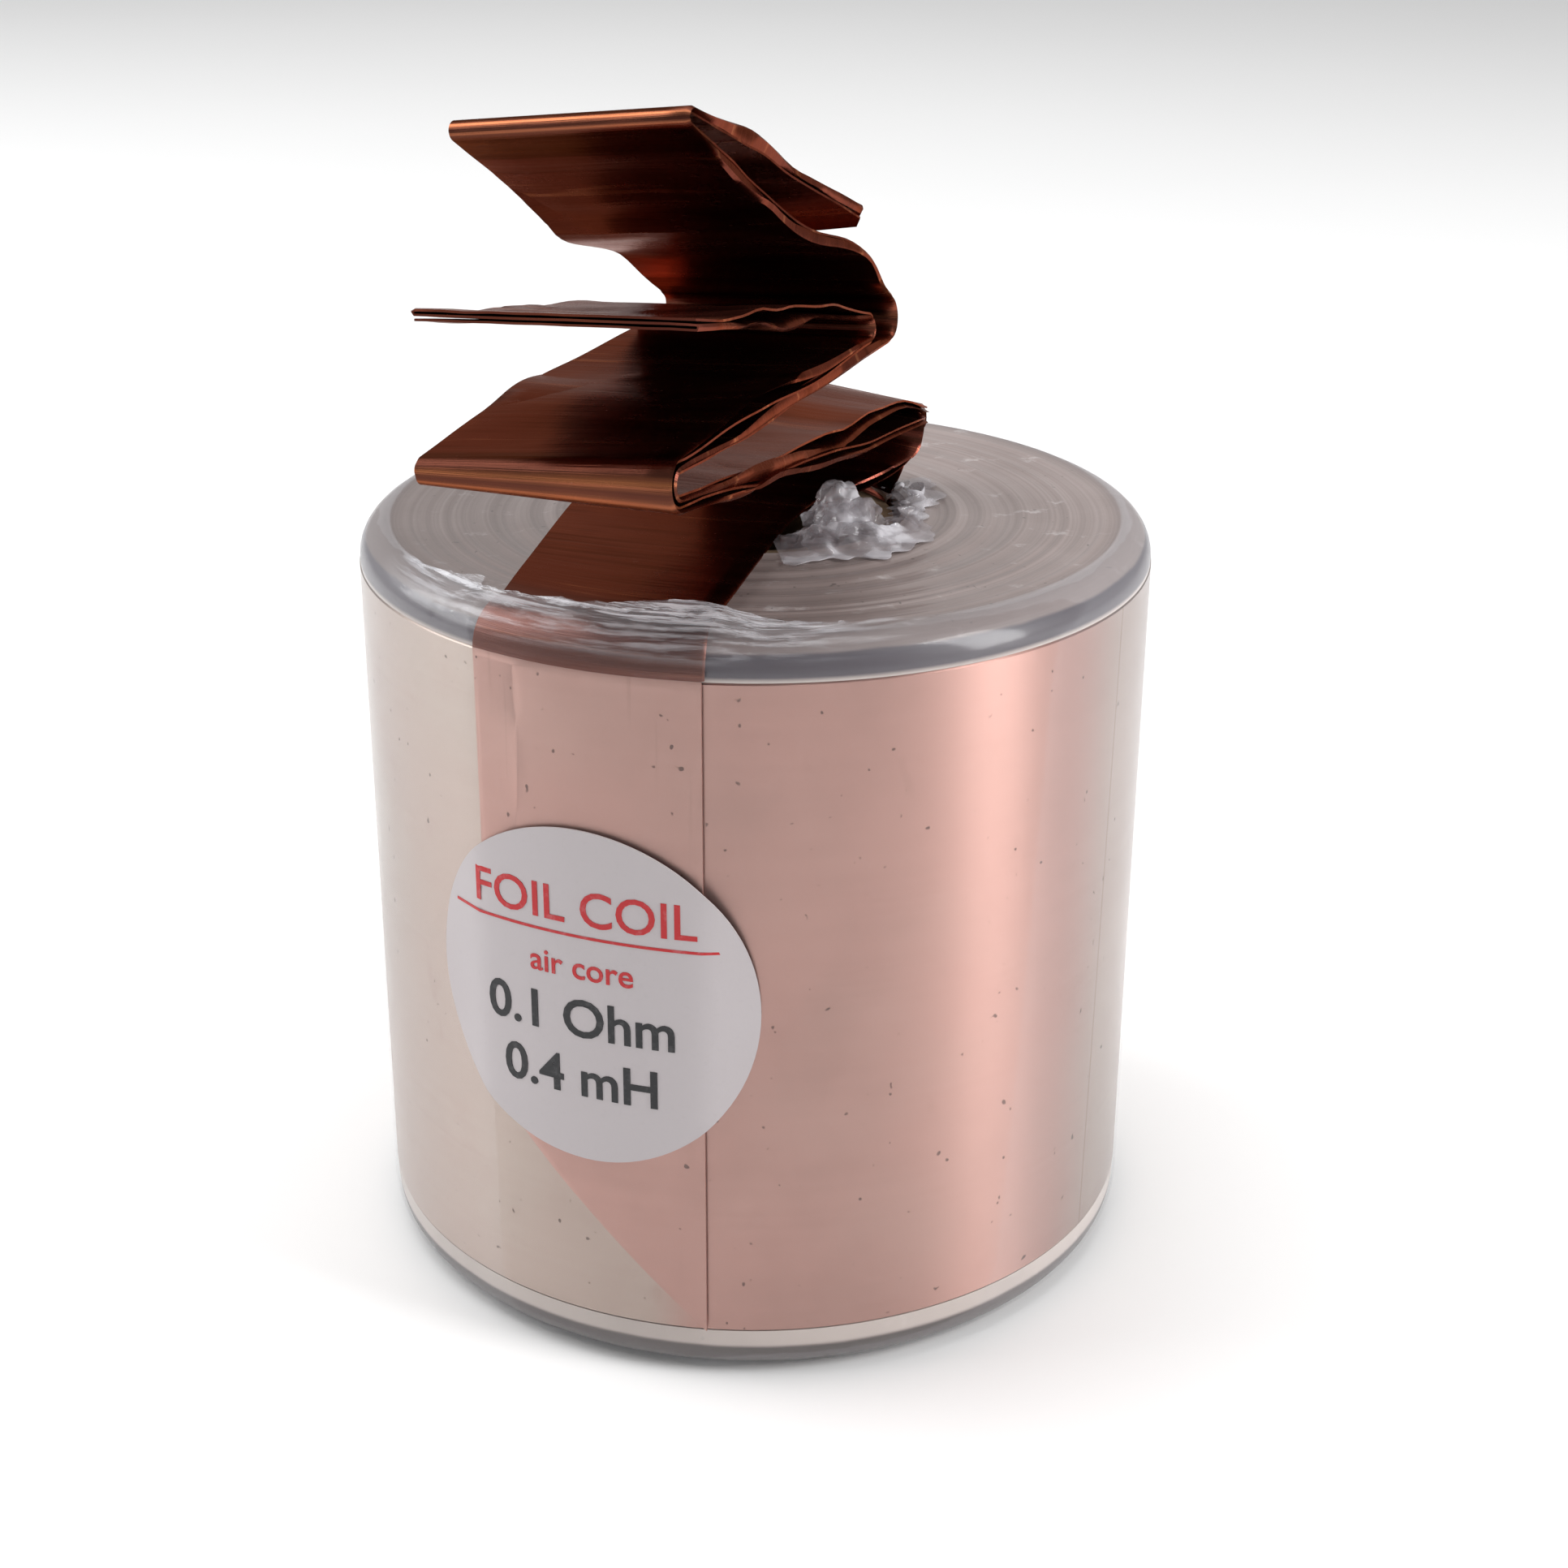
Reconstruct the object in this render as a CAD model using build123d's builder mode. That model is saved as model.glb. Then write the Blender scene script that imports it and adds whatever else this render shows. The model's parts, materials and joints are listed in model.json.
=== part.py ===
"""Foil-wound air-core coil with its two folded foil leads.

The origin is on the coil's axis, in the plane it stands on. +Z is up and -Y is the front.
Angles round the coil (azimuths) are counted from the front, towards +X. All sizes are in mm.
"""

from build123d import *
import os
from math import acos, asin, atan2, cos, degrees, radians, sin, sqrt

os.makedirs("parts", exist_ok=True)

# ---- driving dimensions ------------------------------------------------------------------------
coil_radius = 25.8          # outside of the wound foil and film
foil_width = 44.0           # the copper foil
lower_margin = 3.3          # clear film that stands out below the foil
upper_margin = 2.4          # and above it
core_radius = 9.0           # outside of the card tube in the middle
core_wall = 1.5
core_recess = 0.5           # the tube ends this far inside the film's edges
drawn_turns = 20            # thick turns that stand in for about 165 thin ones
spiral_drift = 1.0          # a spiral of half turns takes this share of a pitch beyond its turns
copper_share = 0.667        # 0.070 foil in a 0.105 pitch
sleeve_film = 0.15          # the clear outer wrap
rim_radius = 2.2            # rounding of the shrunk wrap at both ends
mouth_radius = 22.3         # opening that the shrunk wrap leaves at both ends
fit = 0.05                  # clearance between pieces that lie on each other
slit = 0.02                 # clearance between one wound layer and the next
label_radius = 11.2
label_paper = 0.12
label_height = 26.5         # centre of the label above the ground
label_azimuth = -23.6

# ---- the leads: foil folded in three -------------------------------------------------------------
ply = 0.4                   # thickness of the folded strip
lead_width = foil_width / 3
lead_azimuth = -23.0        # where the outer lead stands against the coil's side
lead_spacing = 0.2          # gap between the two leads where they are folded in together
fold_bore = 0.5             # inside radius of a tight fold
loop_bore = 1.4             # inside radius of the big loop behind the core
fold_gap = 0.3              # a panel starts this far behind the roll it hinges on
riser_curve = 2.0           # height over which the inner lead flattens out above the coil

# ---- derived places --------------------------------------------------------------------------------
film_width = lower_margin + foil_width + upper_margin
ground_lift = sleeve_film + fit
film_top = ground_lift + film_width
foil_bottom = ground_lift + lower_margin
foil_top = foil_bottom + foil_width
seat_radius = coil_radius + fit
lead_top = film_top + fit + ply
sleeve_height = lead_top + fit + sleeve_film
core_tube_length = film_width - 2 * core_recess
riser_inner_radius = core_radius + fit
lead_clear_radius = riser_inner_radius + ply + fit
winding_pitch = (coil_radius - lead_clear_radius) / (drawn_turns + spiral_drift)
winding_inner_radius = lead_clear_radius + winding_pitch / 4
half_span = degrees(asin(lead_width / 2 / (seat_radius + ply)))

# Distances of the strips' middles from a fold line: the inside strip and the outside one.
inside = fold_bore + ply / 2
outside = inside + ply + lead_spacing
loop_inside = loop_bore + ply / 2
loop_outside = loop_inside + ply + lead_spacing


class Crease:
    """A line across the lead: its middle point and the way it runs from left to right."""

    def __init__(self, middle, across):
        self.middle = Vector(*middle)
        self.across = Vector(*across).normalized()


def direction(azimuth):
    """Horizontal unit vector at an azimuth."""
    return Vector(sin(radians(azimuth)), -cos(radians(azimuth)), 0)


def upright_plane(azimuth, height):
    """Plane through the axis with X towards an azimuth and Y up."""
    facing = direction(azimuth)
    return Plane(origin=(0, 0, height), x_dir=facing, z_dir=facing.cross(Vector(0, 0, 1)))


# The creases of the free lead, from the core outwards, with their heights above the coil's top.
riser_azimuth = 158.0
riser_radius = riser_inner_radius + ply / 2
loop_spot = direction(riser_azimuth) * (riser_radius - loop_outside)
loop = Crease((loop_spot.X, loop_spot.Y, film_top + 4.5), (0.94, -0.32, -0.12))
front_fold = Crease((-10.5, -36.0, film_top + 12.8), (0.92, -0.385, 0.065))
outer_back_fold = Crease((-0.35, -14.0, film_top + 15.4), (0.93, -0.37, 0.06))
inner_back_fold = Crease((0.9, -11.3, film_top + 15.5), (0.91, -0.41, 0.055))
top_fold = Crease((-9.4, -29.2, film_top + 29.2), (0.85, -0.51, 0.13))
outer_free_end = Crease((-9.7, -40.0, film_top + 21.9), (0.94, -0.34, 0.05))
inner_free_end = Crease((-0.6, -13.4, film_top + 20.6), (0.85, -0.50, 0.17))
# Where the outer lead leaves the coil's top and rises to its loop.
lift_line = Crease((-4.5, 0.5, film_top + fit + ply / 2), (0.975, -0.22, 0.0))


def lead_plane(crease, run, lift, ahead=0.0):
    """Section plane of a strip at a crease: lift is up from the crease, ahead is along the run."""
    forward = (run - crease.across * run.dot(crease.across)).normalized()
    upward = forward.cross(crease.across)
    if upward.Z < 0:
        upward = upward * -1
    origin = crease.middle + upward * lift + forward * ahead
    return Plane(origin=origin, x_dir=crease.across, z_dir=forward)


def roll_plane(crease, run):
    """Plane square to a crease at its left end, with X along the run."""
    forward = (run - crease.across * run.dot(crease.across)).normalized()
    left_end = crease.middle - crease.across * (lead_width / 2)
    return Plane(origin=left_end, x_dir=forward, z_dir=crease.across)


def wound_ribbon(first_radius, thickness, half_turns, pitch):
    """Face of a ribbon wound outwards, clockwise from above, as half-turn arcs on two centres."""
    shift = pitch / 4
    with BuildLine() as rim:
        for turn in range(half_turns):
            centre = (-shift if turn % 2 == 0 else shift, 0)
            radius = first_radius + turn * pitch / 2
            CenterArc(centre, radius, -180 * turn, -180)
            CenterArc(centre, radius + thickness, -180 * turn, -180)
        start = first_radius - shift
        Line((start, 0), (start + thickness, 0))
        side = 1 if half_turns % 2 == 0 else -1
        stop = side * (first_radius + (half_turns - 1) * pitch / 2 + shift)
        Line((stop, 0), (stop + side * thickness, 0))
    return make_face(rim.edges())


def curved_strip(radius, azimuth, reach):
    """Face of a folded lead that lies curved on a round surface, reach degrees to each side."""
    with BuildLine() as rim:
        skin = CenterArc((0, 0), radius + ply, azimuth - 90 - reach, 2 * reach)
        back = CenterArc((0, 0), radius, azimuth - 90 - reach, 2 * reach)
        Line(skin @ 0, back @ 0)
        Line(skin @ 1, back @ 1)
    return make_face(rim.edges())


def wrap_outline(grow):
    """Face of the film stretched round the coil and the lead at its side, grown outwards."""
    round_radius = seat_radius + grow
    lead_radius = seat_radius + ply + fit + grow
    reach = degrees(acos(round_radius / lead_radius))
    middle = lead_azimuth - 90
    left = middle - half_span
    right = middle + half_span
    with BuildLine() as rim:
        facet = CenterArc((0, 0), lead_radius, left, 2 * half_span)
        barrel = CenterArc((0, 0), round_radius, right + reach, 360 - 2 * half_span - 2 * reach)
        Line(facet @ 1, barrel @ 0)
        Line(barrel @ 1, facet @ 0)
    with BuildSketch() as face:
        make_face(rim.edges())
        fillet(face.vertices().group_by(SortBy.DISTANCE)[-1], radius=rim_radius)
    return face.sketch


copper_layer = winding_pitch * copper_share
film_layer = winding_pitch - copper_layer - 2 * slit
core_bottom = ground_lift + core_recess

# ---- the coil -------------------------------------------------------------------------------------
with BuildPart() as core_tube:
    with BuildSketch(Plane.XY.offset(core_bottom)):
        Circle(core_radius)
        Circle(core_radius - core_wall, mode=Mode.SUBTRACT)
    extrude(amount=core_tube_length)
core_tube.part.label = "core_tube"

with BuildPart() as copper_winding:
    with BuildSketch(Plane.XY.offset(foil_bottom)):
        add(wound_ribbon(winding_inner_radius, copper_layer, 2 * drawn_turns, winding_pitch))
    extrude(amount=foil_width)
copper_winding.part.label = "copper_winding"

with BuildPart() as film_winding:
    with BuildSketch(Plane.XY.offset(ground_lift)):
        first_film_radius = winding_inner_radius + copper_layer + slit
        add(wound_ribbon(first_film_radius, film_layer, 2 * drawn_turns, winding_pitch))
    extrude(amount=film_width)
    edge_rounding = rim_radius - sleeve_film
    with BuildSketch(Plane.XZ):
        with Locations((0, ground_lift)):
            Rectangle(coil_radius, film_width, align=(Align.MIN, Align.MIN))
        fillet(vertices().group_by(Axis.X)[-1], radius=edge_rounding)
    revolve(axis=Axis.Z, mode=Mode.INTERSECT)
    # Past the foil the film's edges are pressed together, and close both ends of the coil.
    for bottom, height, outer_end in (
        (ground_lift, lower_margin - slit, 0),
        (foil_top + slit, upper_margin - slit, -1),
    ):
        with BuildSketch(Plane.XZ):
            with Locations((winding_inner_radius, bottom)):
                Rectangle(coil_radius - winding_inner_radius, height, align=(Align.MIN, Align.MIN))
            corner = vertices().group_by(Axis.X)[-1].sort_by(Axis.Y)[outer_end]
            fillet(corner, radius=edge_rounding)
        revolve(axis=Axis.Z)
film_winding.part.label = "film_winding"

with BuildPart() as sleeve_cavity:
    with BuildSketch(Plane.XY.offset(sleeve_film)):
        add(wrap_outline(0))
    extrude(amount=sleeve_height - 2 * sleeve_film)
    ends = edges().group_by(Axis.Z)
    fillet(ends[0] + ends[-1], radius=rim_radius - sleeve_film)

with BuildPart() as sleeve:
    with BuildSketch():
        add(wrap_outline(sleeve_film))
    extrude(amount=sleeve_height)
    ends = edges().group_by(Axis.Z)
    fillet(ends[0] + ends[-1], radius=rim_radius)
    add(sleeve_cavity.part, mode=Mode.SUBTRACT)
    with BuildSketch():
        Circle(mouth_radius)
    extrude(amount=sleeve_height, mode=Mode.SUBTRACT)
sleeve.part.label = "sleeve"

with BuildPart() as label:
    with BuildSketch(Plane.XY.offset(label_height - label_radius)):
        add(wrap_outline(sleeve_film + label_paper))
        add(wrap_outline(sleeve_film), mode=Mode.SUBTRACT)
    extrude(amount=2 * label_radius)
    label_facing = direction(label_azimuth)
    with BuildSketch(Plane(origin=(0, 0, label_height), x_dir=(0, 0, 1), z_dir=label_facing)):
        Circle(label_radius)
    extrude(amount=2 * coil_radius, mode=Mode.INTERSECT)
label.part.label = "label"

# ---- the outer lead up to its loop ------------------------------------------------------------------
bend_radius = rim_radius
bend_height = film_top + fit - bend_radius
shoulder_radius = seat_radius - bend_radius

with BuildPart() as outer_lead_side_run:
    with BuildSketch(Plane.XY.offset(foil_bottom)):
        add(curved_strip(seat_radius, lead_azimuth, half_span))
    extrude(amount=bend_height - foil_bottom)
    # The foil's end is turned upwards by a fold at 45 degrees, which cuts the lower left corner.
    outward = direction(lead_azimuth)
    sideways = Vector(-outward.Y, outward.X, 0)
    with BuildSketch(Plane(origin=(0, 0, foil_bottom), x_dir=sideways, z_dir=outward)):
        with BuildLine():
            half = lead_width / 2 + ply
            Polyline((-half, 0), (half, 0), (-half, 2 * half), close=True)
        make_face()
    extrude(amount=2 * coil_radius, mode=Mode.SUBTRACT)
outer_lead_side_run.part.label = "outer_lead_side_run"

with BuildPart() as outer_lead_rim_bend:
    with BuildSketch(upright_plane(lead_azimuth - half_span, 0)):
        with Locations((shoulder_radius, bend_height)):
            Circle(bend_radius + ply)
            Circle(bend_radius, mode=Mode.SUBTRACT)
            Rectangle(2 * bend_radius, 2 * bend_radius, align=(Align.MIN, Align.MIN), mode=Mode.INTERSECT)
    revolve(axis=Axis.Z, revolution_arc=2 * half_span)
outer_lead_rim_bend.part.label = "outer_lead_rim_bend"

with BuildPart() as outer_lead_panel_a:
    with BuildSketch(Plane.XY.offset(film_top + fit)):
        with BuildLine():
            lean = degrees(asin(lead_width / 2 / shoulder_radius))
            shoulder = CenterArc((0, 0), shoulder_radius, lead_azimuth - 90 - lean, 2 * lean)
            far_left = lift_line.middle - lift_line.across * (lead_width / 2)
            far_right = lift_line.middle + lift_line.across * (lead_width / 2)
            Polyline(shoulder @ 1, (far_right.X, far_right.Y), (far_left.X, far_left.Y), shoulder @ 0)
        make_face()
    extrude(amount=ply)
    rise = loop.middle - lift_line.middle
    with BuildSketch(lead_plane(lift_line, rise, 0)):
        Rectangle(lead_width, ply)
    with BuildSketch(lead_plane(loop, rise, -loop_inside)):
        Rectangle(lead_width, ply)
    loft(ruled=True)
    with BuildSketch(roll_plane(loop, rise)):
        Circle(loop_inside + ply / 2)
        Circle(loop_bore, mode=Mode.SUBTRACT)
        Rectangle(2 * loop_outside, 4 * loop_outside, align=(Align.MIN, Align.CENTER), mode=Mode.INTERSECT)
    extrude(amount=lead_width)
outer_lead_panel_a.part.label = "outer_lead_panel_a"

# ---- the inner lead up to its loop ------------------------------------------------------------------
riser_span = degrees(asin(lead_width / 2 / (riser_inner_radius + ply)))
flat_start = film_top + riser_curve
riser_up = (Vector(0, 0, 1) - loop.across * loop.across.Z).normalized()
riser_behind = riser_up.cross(loop.across)
riser_head = loop.middle + riser_behind * loop_outside
riser_foot = riser_head - riser_up * (loop.middle.Z - flat_start)

with BuildPart() as inner_lead_core_run:
    with BuildSketch(Plane.XY.offset(foil_bottom)):
        add(curved_strip(riser_inner_radius, riser_azimuth, riser_span))
    extrude(amount=film_top - foil_bottom)
inner_lead_core_run.part.label = "inner_lead_core_run"

with BuildPart() as inner_lead_riser:
    # The lead leaves the coil curved round the core and flattens before it turns over the loop.
    with BuildSketch(Plane.XY.offset(film_top)):
        add(inner_lead_core_run.faces().sort_by(Axis.Z)[-1].moved(Location((0, 0, -film_top))))
    with BuildSketch(Plane(origin=riser_foot, x_dir=loop.across, z_dir=riser_up)):
        Rectangle(lead_width, ply)
    loft(ruled=True)
    with BuildSketch(Plane(origin=riser_foot, x_dir=loop.across, z_dir=riser_up)):
        Rectangle(lead_width, ply)
    extrude(amount=loop.middle.Z - flat_start)
    left_end = loop.middle - loop.across * (lead_width / 2)
    with BuildSketch(Plane(origin=left_end, x_dir=riser_behind, z_dir=loop.across)):
        Circle(loop_outside + ply / 2)
        Circle(loop_outside - ply / 2, mode=Mode.SUBTRACT)
        Rectangle(2 * loop_outside, 2 * loop_outside, align=(Align.MIN, Align.MIN), mode=Mode.INTERSECT)
    extrude(amount=lead_width)
inner_lead_riser.part.label = "inner_lead_riser"

# ---- glue and crumpled film round the mouth of the core -----------------------------------------------
lead_edge = lift_line.middle + lift_line.across * (lead_width / 2)
glue_reach = 2.9            # the largest drop stands this far right of the lead's edge
glue_inset = 0.3            # and its centre this far inside the core's outline
glue_radius = 1.8
glue_x = lead_edge.X + glue_reach
glue_distance = core_radius - glue_inset
glue_y = -sqrt(glue_distance**2 - glue_x**2)
# Each drop: how far right of the largest one, how far behind it, and its radius.
glue_drops = ((0, 0, glue_radius), (-0.2, 3.0, 1.8), (1.2, 4.2, 1.4))
glue_sink = 0.2

with BuildPart() as hot_glue:
    for right, behind, radius in glue_drops:
        with Locations((glue_x + right, glue_y + behind, film_top - glue_sink)):
            Sphere(radius)
    split(bisect_by=Plane.XY.offset(film_top), keep=Keep.TOP)
hot_glue.part.label = "hot_glue"

crumple_inner = winding_inner_radius + fit
crumple_width = 3.0
crumple_height = 1.1
crumple_gap = 2.2           # degrees clear of the glue and of the inner lead
glue_spread = degrees(asin(glue_radius / glue_distance))
crumple_start = degrees(atan2(glue_x, -glue_y)) + glue_spread + crumple_gap
crumple_sweep = riser_azimuth - riser_span - crumple_gap - crumple_start

with BuildPart() as crumpled_film:
    with BuildSketch(upright_plane(crumple_start, film_top)):
        with Locations((crumple_inner + crumple_width / 2, 0)):
            Ellipse(crumple_width / 2, crumple_height)
        with Locations((crumple_inner, 0)):
            Rectangle(crumple_width, crumple_height, align=(Align.MIN, Align.MIN), mode=Mode.INTERSECT)
    revolve(axis=Axis.Z, revolution_arc=crumple_sweep)
crumpled_film.part.label = "crumpled_film"

for piece in (core_tube, copper_winding, film_winding, sleeve, label, outer_lead_side_run,
              outer_lead_rim_bend, outer_lead_panel_a, inner_lead_core_run, inner_lead_riser,
              hot_glue, crumpled_film):
    export_step(piece.part, f"parts/{piece.part.label}.step")

# ---- the free panels ----------------------------------------------------------------------------------
# Each panel runs from one crease to the next, and ends in a roll that the next panel hinges on.
free_panels = {
    "outer_lead_panel_b": (loop, front_fold, loop_inside, -outside, loop_outside),
    "inner_lead_panel_b": (loop, front_fold, loop_outside, -inside, loop_outside),
    "outer_lead_panel_c": (front_fold, outer_back_fold, outside, -inside, outside),
    "inner_lead_panel_c": (front_fold, inner_back_fold, inside, -outside, outside),
    "outer_lead_panel_d": (outer_back_fold, outer_free_end, inside, 0, inside),
    "inner_lead_panel_e": (inner_back_fold, top_fold, outside, -inside, outside),
    "inner_lead_panel_f": (top_fold, inner_free_end, inside, 0, inside),
}
for name, (start, end, start_lift, end_lift, start_roll) in free_panels.items():
    run = end.middle - start.middle
    with BuildPart() as panel:
        with BuildSketch(lead_plane(start, run, start_lift, start_roll + ply / 2 + fold_gap)):
            Rectangle(lead_width, ply)
        with BuildSketch(lead_plane(end, run, end_lift)):
            Rectangle(lead_width, ply)
        loft(ruled=True)
        if end_lift != 0:
            roll_radius = abs(end_lift)
            with BuildSketch(roll_plane(end, run)):
                Circle(roll_radius + ply / 2)
                Circle(roll_radius - ply / 2, mode=Mode.SUBTRACT)
                size = 2 * roll_radius
                Rectangle(size, 2 * size, align=(Align.MIN, Align.CENTER), mode=Mode.INTERSECT)
            extrude(amount=lead_width)
    panel.part.label = name
    export_step(panel.part, f"parts/{name}.step")
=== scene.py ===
import json
from math import acos, asin, atan2, cos, degrees, exp, pi, radians, sin

import bpy
from bpy.props import FloatProperty, FloatVectorProperty, IntProperty, PointerProperty
from bpy.types import Operator, Panel, PropertyGroup
from mathutils import Matrix, Vector, noise


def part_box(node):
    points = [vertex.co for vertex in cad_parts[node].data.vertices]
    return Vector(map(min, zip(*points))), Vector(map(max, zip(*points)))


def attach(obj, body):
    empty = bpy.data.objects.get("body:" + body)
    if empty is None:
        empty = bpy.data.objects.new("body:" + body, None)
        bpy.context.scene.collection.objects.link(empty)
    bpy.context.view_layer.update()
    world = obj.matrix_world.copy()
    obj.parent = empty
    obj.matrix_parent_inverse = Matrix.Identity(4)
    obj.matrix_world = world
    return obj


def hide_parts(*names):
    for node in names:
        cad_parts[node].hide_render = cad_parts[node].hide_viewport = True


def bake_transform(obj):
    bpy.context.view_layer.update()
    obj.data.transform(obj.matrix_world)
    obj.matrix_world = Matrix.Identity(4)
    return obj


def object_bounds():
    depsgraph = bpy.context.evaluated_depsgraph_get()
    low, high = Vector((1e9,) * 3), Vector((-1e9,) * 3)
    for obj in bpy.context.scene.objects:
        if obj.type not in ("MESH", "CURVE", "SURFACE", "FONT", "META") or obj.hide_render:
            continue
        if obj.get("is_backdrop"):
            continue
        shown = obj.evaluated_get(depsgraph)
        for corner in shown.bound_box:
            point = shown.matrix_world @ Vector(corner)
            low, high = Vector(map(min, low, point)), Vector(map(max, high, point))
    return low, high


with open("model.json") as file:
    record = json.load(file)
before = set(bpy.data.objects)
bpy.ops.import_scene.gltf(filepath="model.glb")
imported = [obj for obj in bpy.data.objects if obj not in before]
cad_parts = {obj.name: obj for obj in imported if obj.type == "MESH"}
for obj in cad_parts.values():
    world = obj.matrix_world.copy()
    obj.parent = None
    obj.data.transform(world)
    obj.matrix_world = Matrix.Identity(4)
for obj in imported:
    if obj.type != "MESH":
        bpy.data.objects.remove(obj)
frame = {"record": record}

bl_info = {
    "name": "Foil-wound air-core coil",
    "version": (1, 0, 0),
    "blender": (4, 5, 0),
    "location": "View3D > Sidebar > Coil",
    "description": "Builds the coil, its clear wrap, label and folded foil leads on the CAD frame",
    "category": "Add Mesh",
}

mm = 0.001

# ---- places taken from the frame -----------------------------------------------------
FOIL_LOW, FOIL_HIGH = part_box("copper_winding")
FILM_LOW, FILM_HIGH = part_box("film_winding")
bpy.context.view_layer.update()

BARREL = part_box("sleeve")[1].x - 0.2 * mm    # outside of the wound foil
FOIL_BOTTOM, FOIL_TOP = FOIL_LOW.z, FOIL_HIGH.z
FILM_BOTTOM, FILM_TOP = FILM_LOW.z, FILM_HIGH.z
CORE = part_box("core_tube")[1].x
FIT = 0.05 * mm                         # room between a lead and what it lies on
STRIP_WIDTH = (FOIL_TOP - FOIL_BOTTOM) / 3
STRIP_DEPTH = 0.4 * mm                  # the foil folded in three
STRIP_AZIMUTH = -23.0
STRIP_REACH = degrees(asin(STRIP_WIDTH / 2 / (BARREL + 0.45 * mm)))
RIM = 2.2 * mm                          # rounding of the wrap at both ends
LABEL_AZIMUTH = -23.6
SEAM_AZIMUTH = 59.5                     # where the wrap overlaps itself

INNER_FOLD = 0.7 * mm                   # middle of a strip inside a fold, from the fold's line
OUTER_FOLD = 1.3 * mm
INNER_LOOP = 1.6 * mm
OUTER_LOOP = 2.2 * mm
# Where the outer lead leaves the coil's top, and where both leads end.
LIFT = Vector((-4.5 * mm, 0.5 * mm, FILM_TOP + 0.25 * mm))
OUTER_LEAD_END = Vector((-9.7 * mm, -40.0 * mm, 71.8 * mm))
INNER_LEAD_END = Vector((-0.6 * mm, -13.4 * mm, 70.5 * mm))


def turning(joint):
    """A fold's line from the joint on it: a point, and the axis the strip turns round."""
    row = next(j for j in frame["record"]["behaviour"]["joints"] if j["name"] == joint)
    return Vector(row["pos_m"]), -Vector(row["axis"]).normalized()


LOOP = turning("loop_fold")
FRONT = turning("front_fold")
OUTER_BACK = turning("outer_back_fold")
INNER_BACK = turning("inner_back_fold")
TOP = turning("top_fold")


# ---- settings ------------------------------------------------------------------------
def length(name, description, default, low, high):
    return FloatProperty(name=name, description=description, default=default * mm,
                         min=low * mm, max=high * mm, unit="LENGTH", precision=5)


def tint(name, description, *colour):
    return FloatVectorProperty(name=name, description=description, subtype="COLOR",
                               default=colour, min=0, max=1)


class CoilSizes(PropertyGroup):
    foil_gauge: length("Foil gauge", "Thickness of one layer of a folded lead", 0.12, 0.02, 0.2)
    layer_spacing: length(
        "Layer spacing", "Distance between the layers of a lead at its folds", 0.145, 0.05, 0.5)
    layer_opening: length(
        "Layer opening", "How far the layers stand apart halfway along a panel", 0.34, 0.0, 1.5)
    lead_waves: length("Lead waves", "Height of the ripples in the free foil", 0.27, 0.0, 1.0)
    film_gauge: length("Film gauge", "Thickness of the clear wrap", 0.1, 0.02, 0.3)
    film_wrinkles: length(
        "Film wrinkles", "Height of the wrinkles in the shrunk rims", 0.2, 0.0, 1.0)
    label_radius: length("Label radius", "Radius of the round label", 11.2, 5, 20)
    label_height: length(
        "Label height", "Centre of the label above the ground", 26.5, 12, 40)
    floor_size: length("Floor size", "Side of the floor", 6000, 500, 20000)
    wrap_steps: IntProperty(
        name="Wrap steps", description="Divisions round the clear wrap",
        default=384, min=96, max=720)


class CoilColours(PropertyGroup):
    copper: tint("Copper", "Foil under the clear wrap", 0.45, 0.265, 0.228)
    # Pale copper also paints the reflection on the foil at the coil's left and right.
    pale_copper_and_reflection: tint("Pale copper", "Foil where it has lost its pink", 0.42, 0.352, 0.308)
    dark_copper: tint("Dark copper", "The free leads", 0.165, 0.046, 0.032)
    # Colour of the painted highlights along the leads' folds.
    fold_highlight_copper: tint(
        "Bright copper", "Folds and rubbed places of the leads", 0.52, 0.19, 0.075)
    film: tint("Film", "Stacked film edges at the coil's ends", 0.27, 0.215, 0.20)
    paper: tint("Paper", "The label", 0.46, 0.42, 0.43)
    red_ink: tint("Red ink", "Heading and rule of the label", 0.45, 0.012, 0.016)
    card: tint("Card", "The core tube", 0.30, 0.20, 0.12)


# ---- shaders -------------------------------------------------------------------------
class Wire:
    """A shader socket that can be used in sums."""

    def __init__(self, finish, socket):
        self.finish = finish
        self.socket = socket

    def maths(self, operation, *values):
        inputs = dict(enumerate(values))
        return self.finish.node("ShaderNodeMath", {"operation": operation}, inputs)

    def __add__(self, other):
        return self.maths("ADD", self, other)

    def __radd__(self, other):
        return self.maths("ADD", other, self)

    def __sub__(self, other):
        return self.maths("SUBTRACT", self, other)

    def __rsub__(self, other):
        return self.maths("SUBTRACT", other, self)

    def __mul__(self, other):
        return self.maths("MULTIPLY", self, other)

    def __rmul__(self, other):
        return self.maths("MULTIPLY", other, self)

    def __pow__(self, other):
        return self.maths("POWER", self, other)

    def __abs__(self):
        return self.maths("ABSOLUTE", self)

    def step(self, low, high, bottom=0.0, top=1.0):
        """A smooth step from bottom to top as the value goes from low to high."""
        inputs = {0: self, 1: low, 2: high, 3: bottom, 4: top}
        return self.finish.node("ShaderNodeMapRange", {"interpolation_type": "SMOOTHSTEP"}, inputs)


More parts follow.
